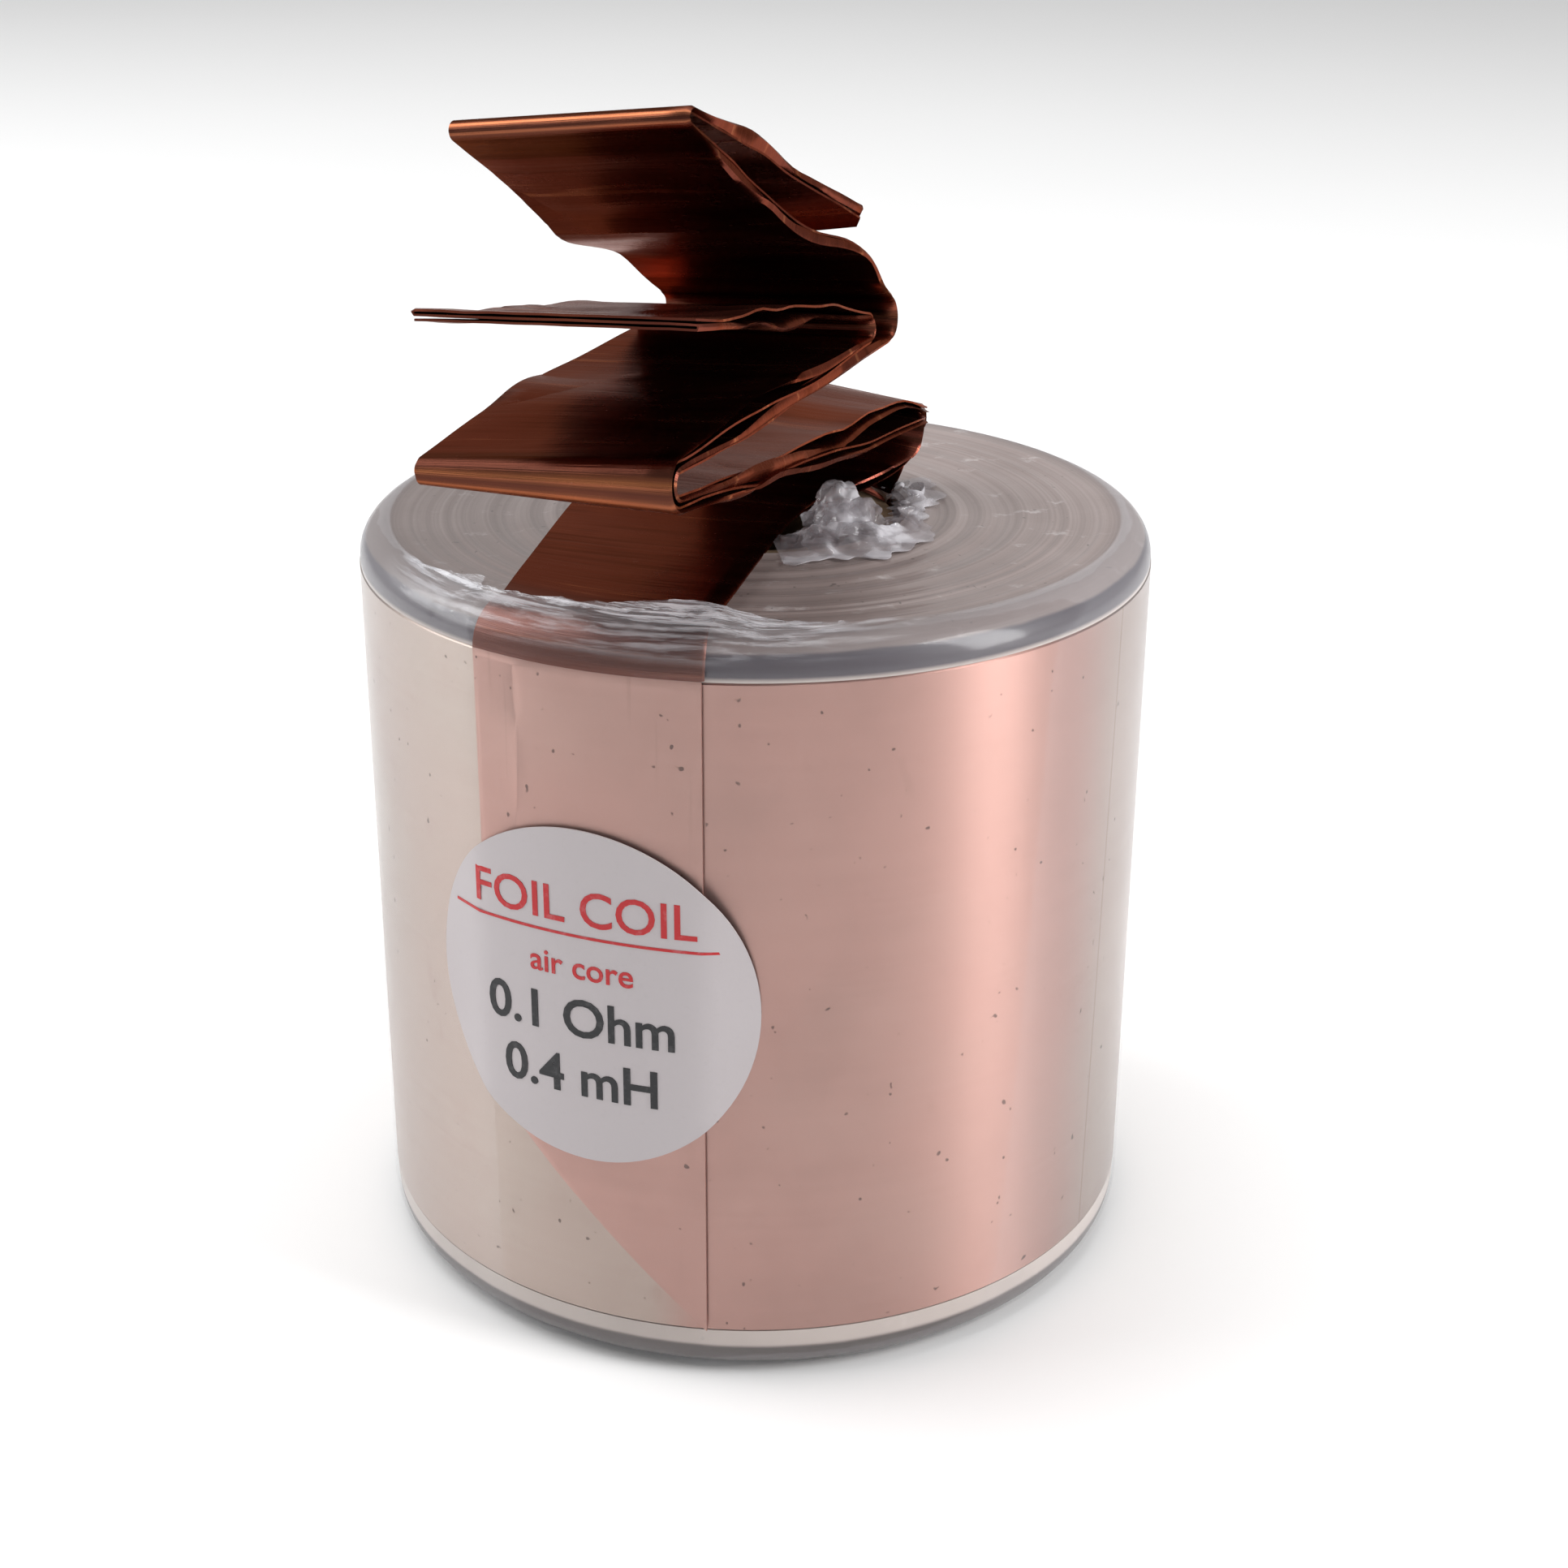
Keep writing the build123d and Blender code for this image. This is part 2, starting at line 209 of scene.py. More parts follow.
class Finish:
    """A material being made: its main shader, and the nodes that feed it."""

    def __init__(self, name, **constants):
        self.material = bpy.data.materials.new(name)
        self.material.use_nodes = True
        self.tree = self.material.node_tree
        self.tree.nodes.clear()
        self.shader = self.tree.nodes.new("ShaderNodeBsdfPrincipled")
        output = self.tree.nodes.new("ShaderNodeOutputMaterial")
        self.tree.links.new(self.shader.outputs[0], output.inputs[0])
        for socket, value in constants.items():
            self.shader.inputs[socket.replace("_", " ")].default_value = value

    def node(self, kind, settings=None, inputs=None, output=0):
        node = self.tree.nodes.new(kind)
        for name, value in (settings or {}).items():
            setattr(node, name, value)
        for name, value in (inputs or {}).items():
            self.feed(node.inputs[name], value)
        return Wire(self, node.outputs[output])

    def feed(self, socket, value):
        if isinstance(value, Wire):
            self.tree.links.new(value.socket, socket)
        elif socket.type == "RGBA" and len(value) == 3:
            socket.default_value = (*value, 1)
        else:
            socket.default_value = value

    def set(self, **sockets):
        for name, value in sockets.items():
            self.feed(self.shader.inputs[name.replace("_", " ")], value)
        return self

    def place(self):
        """The point on the piece, in metres."""
        return self.node("ShaderNodeTexCoord", output=3)

    def azimuth(self, x, y):
        """Angle round the coil's axis from the front, in radians, positive to the right."""
        return self.node("ShaderNodeMath", {"operation": "ARCTAN2"}, {0: x, 1: -1.0 * y})

    def split(self, vector):
        node = self.tree.nodes.new("ShaderNodeSeparateXYZ")
        self.feed(node.inputs[0], vector)
        return [Wire(self, socket) for socket in node.outputs]

    def stretched(self, vector, scale):
        return self.node("ShaderNodeMapping", {}, {"Vector": vector, "Scale": scale})

    def speckle(self, vector, scale, detail=3.0, roughness=0.5):
        return self.node("ShaderNodeTexNoise", {}, {
            "Vector": vector, "Scale": scale, "Detail": detail, "Roughness": roughness})

    def mix(self, factor, first, second):
        return self.node(
            "ShaderNodeMix", {"data_type": "RGBA"}, {0: factor, 6: first, 7: second}, output=2)

    def relief(self, height, distance, strength=1.0):
        return self.node("ShaderNodeBump", {}, {
            "Height": height, "Distance": distance, "Strength": strength})


def copper_wall_finish(name, colours, scratches):
    """Satin foil under clear film: rolling lines, smudges, specks, real patches without pink, and
    pale painted reflections at the coil's left and right.
    """
    finish = Finish(name, Metallic=1.0, Anisotropic=0.8, Anisotropic_Rotation=0.25,
                    Coat_Weight=0.5, Coat_Roughness=0.10, Coat_IOR=1.4)
    place = finish.place()
    x, y, z = finish.split(place)
    azimuth = finish.azimuth(x, y)
    rolling = finish.speckle(finish.stretched(place, (14, 14, 2600)), 1.0, 2.0)
    smudges = finish.speckle(place, 120.0, 5.0, 0.62)
    clouds = finish.speckle(place, 42.0, 3.0)
    specks = finish.speckle(place, 1500.0, 1.0).step(0.735, 0.80)
    dents = finish.speckle(finish.stretched(place, (1, 1, 0.5)), 420.0, 2.0).step(0.68, 0.76)
    # Painted reflection: pale foil towards the coil's left and right, less behind the coil; the
    # clouds below add real pale patches.
    painted_reflection_left = azimuth.step(radians(-16), radians(-7), 0.0 if scratches else 1.0, 0.0)
    painted_reflection_right = azimuth.step(radians(47), radians(62))
    behind = abs(azimuth).step(radians(95), radians(150))
    pale = (painted_reflection_left * 0.85 + painted_reflection_right * 0.75) * (1.0 - behind * 0.6)
    pale = pale + clouds.step(0.45, 0.75) * 0.18
    colour = finish.mix(pale, tuple(colours.copper), tuple(colours.pale_copper_and_reflection))
    dull = (smudges.step(0.45, 0.8) * 0.16 + rolling * 0.10 + dents * 0.12)
    colour = finish.mix(dull, colour, (0.30, 0.18, 0.15))
    colour = finish.mix(specks * 0.75, colour, (0.07, 0.045, 0.04))
    seam = abs(azimuth - (1.010 + 1.15 * z)).step(0.0016, 0.0045, 1.0, 0.0)
    colour = finish.mix(seam * 0.5, colour, (0.25, 0.15, 0.10))
    height = rolling * 0.5 + smudges * 0.12 - dents * 0.35
    if scratches:
        upright = finish.speckle(finish.stretched(place, (1500, 1500, 40)), 1.0, 2.0)
        lines = upright.step(0.62, 0.78) * clouds.step(0.4, 0.6)
        colour = finish.mix(lines * 0.35, colour, (0.22, 0.13, 0.11))
        height = height + lines * 0.3
    return finish.set(
        Base_Color=colour,
        Roughness=0.31 + smudges * 0.14 + rolling * 0.06,
        Normal=finish.relief(height, 0.04 * mm, 0.3),
    ).material


def lead_finish(name, colours):
    """Tarnished glossy foil with streaks across it, with painted highlights on its folds and
    streaks and painted shade inside its folds.
    """
    finish = Finish(name, Metallic=1.0, Specular_Tint=(0.75, 0.50, 0.44, 1))
    place = finish.place()
    along = finish.node("ShaderNodeUVMap", {"uv_map": "UVMap"})
    streaks = finish.speckle(finish.stretched(along, (1.6, 26, 1)), 1.0, 4.0, 0.6)
    fine = finish.speckle(finish.stretched(along, (6, 150, 1)), 1.0, 2.0)
    clouds = finish.speckle(place, 85.0, 3.0)
    scuffs = finish.speckle(place, 620.0, 4.0, 0.65)
    # fold: strength of the painted highlight along the folds, below zero where the film covers the
    # foil.
    fold = finish.node("ShaderNodeAttribute", {"attribute_name": "fold"}, output=2)
    warm = clouds.step(0.48, 0.68) * 0.35 + streaks.step(0.52, 0.72) * 0.2
    colour = finish.mix(warm, tuple(colours.dark_copper), (0.42, 0.115, 0.055))
    colour = finish.mix(streaks.step(0.30, 0.48, 1.0, 0.0) * 0.55, colour, (0.045, 0.016, 0.013))
    # Painted highlight: bright copper along the highest streaks.
    colour = finish.mix(streaks.step(0.57, 0.66) * 0.4, colour, (0.55, 0.22, 0.11))
    # Painted shade: the inside of each fold, between its highlight lines, is darkened.
    turning = fold.step(0.0, 0.04) * fold.step(0.1, 0.5, 1.0, 0.0)
    colour = finish.mix(turning * 0.75, colour, (0.045, 0.016, 0.012))
    # Painted highlight: bright copper lines along the folds.
    painted_fold_highlight = fold * (0.3 + fine * 0.7)
    colour = finish.mix(painted_fold_highlight, colour, tuple(colours.fold_highlight_copper))
    colour = finish.mix(scuffs.step(0.66, 0.78) * 0.25, colour, (0.30, 0.20, 0.18))
    covered = fold.step(-1.0, 0.0, 1.0, 0.0)
    colour = finish.mix(covered * 0.75, colour, (0.13, 0.070, 0.060))
    return finish.set(
        Base_Color=colour,
        Roughness=0.15 + streaks * 0.12 + scuffs * 0.10 + covered * 0.12,
        Normal=finish.relief(streaks * 0.7 + fine * 0.25 + scuffs * 0.2, 0.12 * mm, 0.45),
    ).material


def foil_edge_finish(name):
    """Cut edges of the foil: paler, matter, slightly pink."""
    finish = Finish(name, Metallic=1.0)
    nicks = finish.speckle(finish.place(), 2500.0, 3.0)
    colour = finish.mix(nicks, (0.085, 0.040, 0.034), (0.20, 0.11, 0.095))
    return finish.set(Base_Color=colour, Roughness=0.38 + nicks * 0.15).material


def film_end_finish(name, colours):
    """The film's many edges pressed together: fine rings, scuffs and dust, with painted shade on
    the rounded rim and towards the left.
    """
    finish = Finish(name, Coat_Weight=0.5, Coat_Roughness=0.12, Specular_IOR_Level=0.5)
    place = finish.place()
    x, y, z = finish.split(place)
    radius = (x * x + y * y) ** 0.5
    ring = finish.node("ShaderNodeCombineXYZ", {}, {0: radius * 5200.0, 1: 0.0, 2: 0.0})
    rings = finish.speckle(ring, 1.0, 2.0)
    wide_rings = finish.speckle(finish.stretched(ring, (0.16, 1, 1)), 1.0, 2.0)
    clouds = finish.speckle(place, 95.0, 4.0, 0.6)
    scuffs = finish.speckle(finish.stretched(place, (1, 1.6, 1)), 300.0, 5.0, 0.7)
    dust = finish.speckle(place, 1700.0, 1.0).step(0.73, 0.78)
    shade = rings * 0.35 + wide_rings * 0.4 + clouds * 0.35
    colour = finish.mix(shade.step(0.35, 0.8), (0.17, 0.13, 0.12), (0.36, 0.30, 0.29))
    colour = finish.mix(0.35, colour, tuple(colours.film))
    colour = finish.mix(scuffs.step(0.58, 0.74) * 0.45, colour, (0.62, 0.58, 0.58))
    colour = finish.mix(dust * 0.6, colour, (0.05, 0.04, 0.04))
    # Where the film stands out past the foil it looks slate above and milky below.
    above = z.step(FOIL_TOP, FOIL_TOP + 0.4 * mm)
    outer = radius.step(BARREL - 1.7 * mm, BARREL - 0.9 * mm)
    band = (z + clouds * 0.5 * mm).step(FILM_TOP - 0.65 * mm, FILM_TOP - 0.45 * mm, 1.0, 0.0)
    rounded = radius.step(BARREL - 2.9 * mm, BARREL - 1.6 * mm)
    # Painted shade: the rounded outer ring above the foil is darkened.
    colour = finish.mix(above * rounded * 0.55, colour, (0.15, 0.125, 0.125))
    # Painted shade: darker towards the left, as the light falls.
    colour = finish.mix(x.step(-24 * mm, 4 * mm, 0.5, 0.0), colour, (0.10, 0.075, 0.068))
    colour = finish.mix(above * outer * band * (0.75 + rings * 0.3), colour, (0.050, 0.042, 0.056))
    milky = z.step(2.1 * mm, 2.5 * mm) * (1.0 - above) * outer
    colour = finish.mix(milky * (0.5 + clouds * 0.4), colour, (0.56, 0.49, 0.45))
    dark = (z + clouds * 0.4 * mm).step(2.3 * mm, 2.6 * mm, 1.0, 0.0) * outer
    colour = finish.mix(dark * (0.7 + clouds * 0.3), colour, (0.050, 0.040, 0.038))
    return finish.set(
        Base_Color=colour,
        Roughness=0.30 + clouds * 0.22 + scuffs * 0.10,
        Normal=finish.relief(rings * 0.6 + wide_rings + scuffs * 0.5, 0.08 * mm, 0.5),
    ).material


def clear_film_finish(name, haze, wrinkle):
    """Clear shrunk film, seen mostly by its gloss, by the haze of its wrinkles with a painted
    highlight on them, and by a painted sheen at grazing angles.
    """
    finish = Finish(name, Base_Color=(0.86, 0.86, 0.90, 1), IOR=1.5, Coat_Weight=0.0)
    place = finish.place()
    x, y, z = finish.split(place)
    radius = (x * x + y * y) ** 0.5
    azimuth = finish.azimuth(x, y)
    ringwise = finish.node(
        "ShaderNodeCombineXYZ", {}, {0: azimuth * 4.0, 1: radius * 2300.0, 2: z * 2300.0})
    folds = finish.speckle(ringwise, 1.0, 3.0, 0.6)
    fine = finish.speckle(place, 900.0, 3.0, 0.6)
    # Painted sheen: the film turns whiter as it is seen more edge-on.
    painted_sheen = finish.node("ShaderNodeLayerWeight", {}, {"Blend": 0.2}, output=0)
    crumpled = abs(azimuth - radians(STRIP_AZIMUTH)).step(radians(24), radians(46), 1.0, 0.0)
    above = z.step(FILM_TOP - 1.4 * mm, FILM_TOP - 0.2 * mm)
    inner = radius.step(23.2 * mm, 25.4 * mm, 1.0, 0.25)
    # lips: the milky haze of the wrinkled rims, partly a painted highlight.
    lips = above * crumpled * inner * (0.10 + folds.step(0.46, 0.60) * 0.95)
    alpha = haze + painted_sheen * 0.06 + lips * wrinkle
    return finish.set(
        Alpha=alpha,
        Roughness=0.06 + fine * 0.10,
        Normal=finish.relief(folds * (0.02 + above * crumpled) + fine * 0.01, 0.2 * mm, 0.5),
    ).material


def crumpled_film_finish(name, haze):
    """Crumpled film and set glue: bright little facets over a milky body, with a painted sheen at
    grazing angles.
    """
    finish = Finish(name, IOR=1.5, Coat_Weight=0.5, Coat_Roughness=0.05)
    place = finish.place()
    lumps = finish.speckle(place, 330.0, 2.0, 0.5)
    fine = finish.speckle(place, 1300.0, 2.0)
    # Painted sheen: whiter and more opaque as it is seen more edge-on.
    painted_sheen = finish.node("ShaderNodeLayerWeight", {}, {"Blend": 0.3}, output=1)
    colour = finish.mix(lumps.step(0.35, 0.65), (0.36, 0.32, 0.34), (0.78, 0.76, 0.80))
    return finish.set(
        Base_Color=colour,
        Alpha=haze + painted_sheen * 0.2 + lumps.step(0.52, 0.62) * 0.35,
        Roughness=0.06 + fine * 0.10,
        Normal=finish.relief(lumps + fine * 0.08, 0.5 * mm, 0.6),
    ).material


def card_finish(name, colours):
    """Wound grey-brown card with fibres and a scuffed end."""
    finish = Finish(name, Specular_IOR_Level=0.3)
    place = finish.place()
    fibres = finish.speckle(finish.stretched(place, (900, 900, 220)), 1.0, 4.0, 0.65)
    clouds = finish.speckle(place, 160.0, 3.0)
    colour = finish.mix(fibres.step(0.3, 0.7), (0.20, 0.13, 0.08), tuple(colours.card))
    colour = finish.mix(clouds.step(0.5, 0.75) * 0.5, colour, (0.42, 0.33, 0.24))
    return finish.set(
        Base_Color=colour,
        Roughness=0.72 + fibres * 0.15,
        Normal=finish.relief(fibres, 0.1 * mm, 0.5),
    ).material


def paper_finish(name, colours):
    """Smooth coated paper, a little grey, with fibres and finger marks."""
    finish = Finish(name, Coat_Weight=0.12, Coat_Roughness=0.3)
    place = finish.place()
    fibres = finish.speckle(place, 2600.0, 4.0, 0.6)
    marks = finish.speckle(place, 130.0, 3.0)
    colour = finish.mix(marks.step(0.45, 0.8) * 0.25, tuple(colours.paper), (0.44, 0.39, 0.40))
    colour = finish.mix(fibres.step(0.55, 0.75) * 0.12, colour, (0.36, 0.32, 0.32))
    return finish.set(
        Base_Color=colour,
        Roughness=0.42 + marks * 0.14,
        Normal=finish.relief(fibres, 0.03 * mm, 0.3),
    ).material


def ink_finish(name, colour, worn):
    """Printed ink that has worn thin in places."""
    finish = Finish(name, Specular_IOR_Level=0.4)
    wear = finish.speckle(finish.place(), 1900.0, 3.0, 0.6).step(0.5, 0.75)
    return finish.set(
        Base_Color=finish.mix(wear * 0.45, colour, worn), Roughness=0.40 + wear * 0.2).material


def floor_finish(name):
    """Pale matt floor with the faintest mottle."""
    finish = Finish(name, Specular_IOR_Level=0.25)
    mottle = finish.speckle(finish.place(), 3.0, 4.0)
    colour = finish.mix(mottle, (0.84, 0.84, 0.84), (0.88, 0.88, 0.88))
    return finish.set(Base_Color=colour, Roughness=0.6 + mottle * 0.1).material


# ---- ways of working -----------------------------------------------------------------
def selected_alone(*objects):
    bpy.ops.object.select_all(action="DESELECT")
    for obj in objects:
        obj.select_set(True)
    bpy.context.view_layer.objects.active = objects[0]


def direction(azimuth):
    """Level unit vector at an azimuth in degrees, counted from the front towards the right."""
    return Vector((sin(radians(azimuth)), -cos(radians(azimuth)), 0))


def at_azimuth(azimuth, radius, height):
    return direction(azimuth) * radius + Vector((0, 0, height))


def through(points, t):
    """Smooth value at t of a curve through (place, value) pairs."""
    if t <= points[0][0]:
        return points[0][1]
    for (a, low), (b, high) in zip(points, points[1:]):
        if t <= b:
            share = (t - a) / (b - a)
            return low + (high - low) * share * share * (3 - 2 * share)
    return points[-1][1]


def ripple(x, y=0.0, z=0.0):
    """Repeatable noise from about -1 to 1."""
    return 2 * noise.noise(Vector((x + 11.3, y + 5.7, z + 2.1)))


def added(name, add, **settings):
    """A new object from one of the add operators, the only one selected."""
    bpy.ops.object.select_all(action="DESELECT")
    add(**settings)
    piece = bpy.context.active_object
    piece.name = piece.data.name = name
    return piece


def sheet(name, columns, rows, lay):
    """A grid whose point in column i and row j is laid at lay(i, j)."""
    piece = added(name, bpy.ops.mesh.primitive_grid_add,
                  x_subdivisions=columns, y_subdivisions=rows, size=2)
    for vertex in piece.data.vertices:
        i = round((vertex.co.x + 1) / 2 * columns)
        j = round((vertex.co.y + 1) / 2 * rows)
        vertex.co = lay(i, j)
    piece.data.update()
    return piece


def settle(piece):
    """Puts the object at the origin, with its place in its mesh."""
    selected_alone(piece)
    bpy.ops.object.transform_apply(location=True, rotation=True, scale=True)
    return piece


def merged(piece, distance=0.01 * mm, outwards=True):
    selected_alone(piece)
    bpy.ops.object.mode_set(mode="EDIT")
    bpy.ops.mesh.select_all(action="SELECT")
    bpy.ops.mesh.remove_doubles(threshold=distance)
    if outwards:
        bpy.ops.mesh.normals_make_consistent(inside=False)
    bpy.ops.object.mode_set(mode="OBJECT")
    return piece


def thickened(piece, thickness, offset=0.0, rim_finish=False):
    selected_alone(piece)
    solid = piece.modifiers.new("Gauge", "SOLIDIFY")
    solid.thickness = thickness
    solid.offset = offset
    solid.use_rim = True
    if rim_finish:
        solid.material_offset_rim = 1
    bpy.ops.object.modifier_apply(modifier=solid.name)
    return piece


def smoothed(piece, angle=40):
    selected_alone(piece)
    bpy.ops.object.shade_smooth_by_angle(angle=radians(angle))
    return piece


def finished(piece, materials):
    for material in materials:
        piece.data.materials.append(material)
    return piece


def dress(node, material):
    """Gives a CAD node its finish."""
    materials = bpy.data.objects[node].data.materials
    materials.clear()
    materials.append(material)


def turned(name, outline, steps):
    """A closed ring turned from an outline of (radius, height) points."""
    piece = added(name, bpy.ops.mesh.primitive_plane_add, size=mm)
    bpy.ops.object.mode_set(mode="EDIT")
    bpy.ops.mesh.select_all(action="SELECT")
    bpy.ops.mesh.merge(type="CENTER")
    radius, height = outline[0]
    bpy.ops.transform.translate(value=(radius, 0, height))
    for here, there in zip(outline, outline[1:] + outline[:1]):
        bpy.ops.mesh.extrude_region_move(
            TRANSFORM_OT_translate={"value": (there[0] - here[0], 0, there[1] - here[1])})
    bpy.ops.mesh.select_all(action="SELECT")
    bpy.ops.mesh.spin(steps=steps, angle=2 * pi, center=(0, 0, 0), axis=(0, 0, 1))
    bpy.ops.mesh.select_all(action="SELECT")
    bpy.ops.mesh.remove_doubles(threshold=0.002 * mm)
    bpy.ops.mesh.normals_make_consistent(inside=False)
    bpy.ops.object.mode_set(mode="OBJECT")
    return piece


def rounding(centre_radius, centre_height, radius, start, end, steps):
    """Points of an outline on an arc, angles in degrees from outwards."""
    turns = (radians(start + (end - start) * k / steps) for k in range(steps + 1))
    return [(centre_radius + radius * cos(a), centre_height + radius * sin(a)) for a in turns]


# ---- the clear wrap's outline --------------------------------------------------------
def beside_strip(azimuth):
    """Degrees from the middle of the lead at the coil's side, between -180 and 180."""
    return (azimuth - STRIP_AZIMUTH + 180) % 360 - 180


def wrap_radius(azimuth):
    """Outside of the coil where the film lies: round, and stretched over the lead at its side."""
    barrel = BARREL + 0.14 * mm
    edge = BARREL + 0.66 * mm
    away = abs(beside_strip(azimuth))
    if away <= STRIP_REACH:
        return edge - 0.22 * mm * (1 - (away / STRIP_REACH) ** 2)
    reach = degrees(acos(barrel / edge))
    if away - STRIP_REACH < reach:
        return barrel / cos(radians(reach - away + STRIP_REACH))
    return barrel


def wrap_top(azimuth):
    """Height at which the film lies on the coil's top, higher over the lead."""
    away = abs(beside_strip(azimuth))
    return FILM_TOP + through([(STRIP_REACH, 0.62 * mm), (STRIP_REACH + 9, 0.16 * mm)], away)


def wrap_mouth(azimuth):
    """Radius at which the shrunk film ends on the coil's top."""
    along = beside_strip(azimuth)
    edge = through([(-60, 24.5), (-38, 24.2), (-26, 22.7), (-17, 23.9), (0, 22.3), (14, 20.7),
                    (20, 21.8), (34, 23.0), (62, 24.3)], along)
    waves = 0.45 * ripple(azimuth * 0.09) + 0.3 * ripple(azimuth * 0.33) + 0.12 * ripple(azimuth)
    return (edge + waves * (0.35 + 0.65 * beside_lead(azimuth))) * mm


def beside_lead(azimuth):
    """1 where the film is crumpled on and beside the lead, 0 where it is smooth."""
    return through([(30, 1.0), (52, 0.0)], abs(beside_strip(azimuth)))


# ---- the leads' course ---------------------------------------------------------------
class Row:
    """One line across a strip: its ends, its middle, the way up, and its fold value, which sets the
    painted highlight and painted shade of the fold and is below zero where the film covers the
    strip.
    """

    def __init__(self, left, middle, right, up, fold=0.0, loose=0.0):
        self.left, self.middle, self.right = Vector(left), Vector(middle), Vector(right)
        self.up = Vector(up).normalized()
        self.fold = fold
        self.loose = loose

    def at(self, u):
        """Point at u across the strip, from -1 at its left edge to 1 at its right."""
        half = (self.right - self.left) / 2
        bulge = (self.right + self.left - 2 * self.middle) / 2
        return self.middle + half * u + bulge * u * u


def level(axis):
    """The way across the strip that points to the right."""
    return axis if axis.x > 0 else -axis


def straight_row(middle, across, heading, fold=0.0, loose=0.0):
    half = across * (STRIP_WIDTH / 2)
    return Row(middle - half, middle, middle + half, across.cross(heading), fold, loose)


def touching(fold, radius, heading):
    """Where a strip that heads this way touches the fold's roll."""
    centre, axis = fold
    heading = (heading - axis * heading.dot(axis)).normalized()
    return centre - axis.cross(heading) * radius, heading


def heading_between(fold, radius, next_fold, next_radius):
    """Direction of the panel that leaves one roll and arrives at the next."""
    heading = next_fold[0] - fold[0]
    for _ in range(6):
        start = touching(fold, radius, heading)[0]
        end = touching(next_fold, next_radius, heading)[0]
        heading = end - start
    return heading.normalized()


def glints(t):
    """Painted highlight along a fold: two narrow lines along it."""
    return 0.05 + 0.95 * exp(-((t - 0.56) / 0.05) ** 2) + 0.5 * exp(-((t - 0.28) / 0.04) ** 2)


def roll_rows(fold, radius, arriving, leaving, steps, pinch=(1.0, 1.0), shine=1.0):
    """Rows of a strip that turns over a fold. pinch narrows the roll at its left and right ends.
    shine sets how strong the painted highlight lines along the roll are.
    """
    centre, axis = fold
    across = level(axis)
    start = touching(fold, radius, arriving)[1]
    end = touching(fold, radius, leaving)[1]
    sweep = atan2(start.cross(end).dot(axis), start.dot(end)) % (2 * pi)
    rows = []
    for k in range(steps + 1):
        heading = Matrix.Rotation(sweep * k / steps, 3, axis) @ start
        row = straight_row(centre, across, heading, shine * glints(k / steps))
        outwards = -axis.cross(heading) * radius
        row.left = row.left + outwards * pinch[0]
        row.right = row.right + outwards * pinch[1]
        row.middle = (row.left + row.right) / 2
        rows.append(row)
    return rows


def panel_rows(first, last, steps, shape):
    """Rows between two rolls. shape bends the panel and moves its edges, in mm along t; its glow
    adds a painted reflection near the rolls.
    """
    rows = []
    for k in range(1, steps):
        t = k / steps
        heading = last.middle - first.middle
        left, right = first.left.lerp(last.left, t), first.right.lerp(last.right, t)
        across = (right - left).normalized()
        up = across.cross(heading).normalized()
        bow = up * through(shape["bow"], t) * mm
        left = left + bow - across * through(shape["left"], t) * mm
        right = right + bow + across * through(shape["right"], t) * mm
        near_end = min(t, 1 - t) * heading.length / mm
        # glow paints a reflection: a bright bar about 1.2 mm in from each end of the panel.
        glow = 0.22 * max(0.0, 1 - abs(near_end - 1.2)) * shape.get("glow", 0)
        rows.append(Row(left, (left + right) / 2, right, up, glow, sin(pi * t) ** 0.8))
    return rows


PLAIN = {"bow": [(0, 0), (1, 0)], "left": [(0, 0), (1, 0)], "right": [(0, 0), (1, 0)]}
PANEL_SHAPES = {
    "outer_b": {"bow": [(0, 0), (0.3, 0.5), (0.7, 0.25), (1, 0)], "left": [(0, 0), (1, 0)],
                "right": [(0, 0.9), (0.25, 0.5), (0.7, 0.1), (1, 0)]},
    "inner_b": {"bow": [(0, 0), (0.15, -0.9), (0.27, -0.75), (0.42, 0.1), (0.7, 0.15), (1, 0)],
                "left": [(0, 0), (1, 0)], "right": [(0, 0.9), (0.2, 0.3), (0.6, -0.2), (1, 0)]},
    "outer_c": {"bow": [(0, 0), (0.35, 0.5), (0.75, -0.15), (1, 0)],
                "left": [(0, 0), (0.3, -0.2), (0.6, 0.6), (1, 0)], "right": [(0, 0), (1, 0)]},
    "inner_c": {"bow": [(0, 0), (0.3, -0.35), (0.6, -0.2), (1, 0)],
                "left": [(0, 0), (0.5, 0.2), (1, 0)], "right": [(0, 0), (0.5, -0.3), (1, 0)]},
    "outer_d": {"bow": [(0, 0), (0.3, -0.25), (0.7, 0.2), (1, 0)],
                "left": [(0, 0), (0.5, 0.5), (0.85, 0.2), (1, 0.6)],
                "right": [(0, 0), (0.5, 0.2), (1, 0.5)]},
    # inner_e has a painted reflection next to its folds (glow).
    "inner_e": {"bow": [(0, 0), (0.2, -0.7), (0.52, 0.5), (0.85, 0.1), (1, 0)],
                "left": [(0, -0.3), (0.2, 0.4), (0.42, 0.6), (0.7, 0.1), (1, 0)],
                "right": [(0, 0), (0.2, 0.5), (0.6, -0.3), (1, 0)], "glow": 1},
    "inner_f": {"bow": [(0, 0), (0.5, 0.6), (1, 0.2)], "left": [(0, 0), (1, 0.3)],
                "right": [(0, 0), (0.5, -0.2), (1, 0.6)]},
}


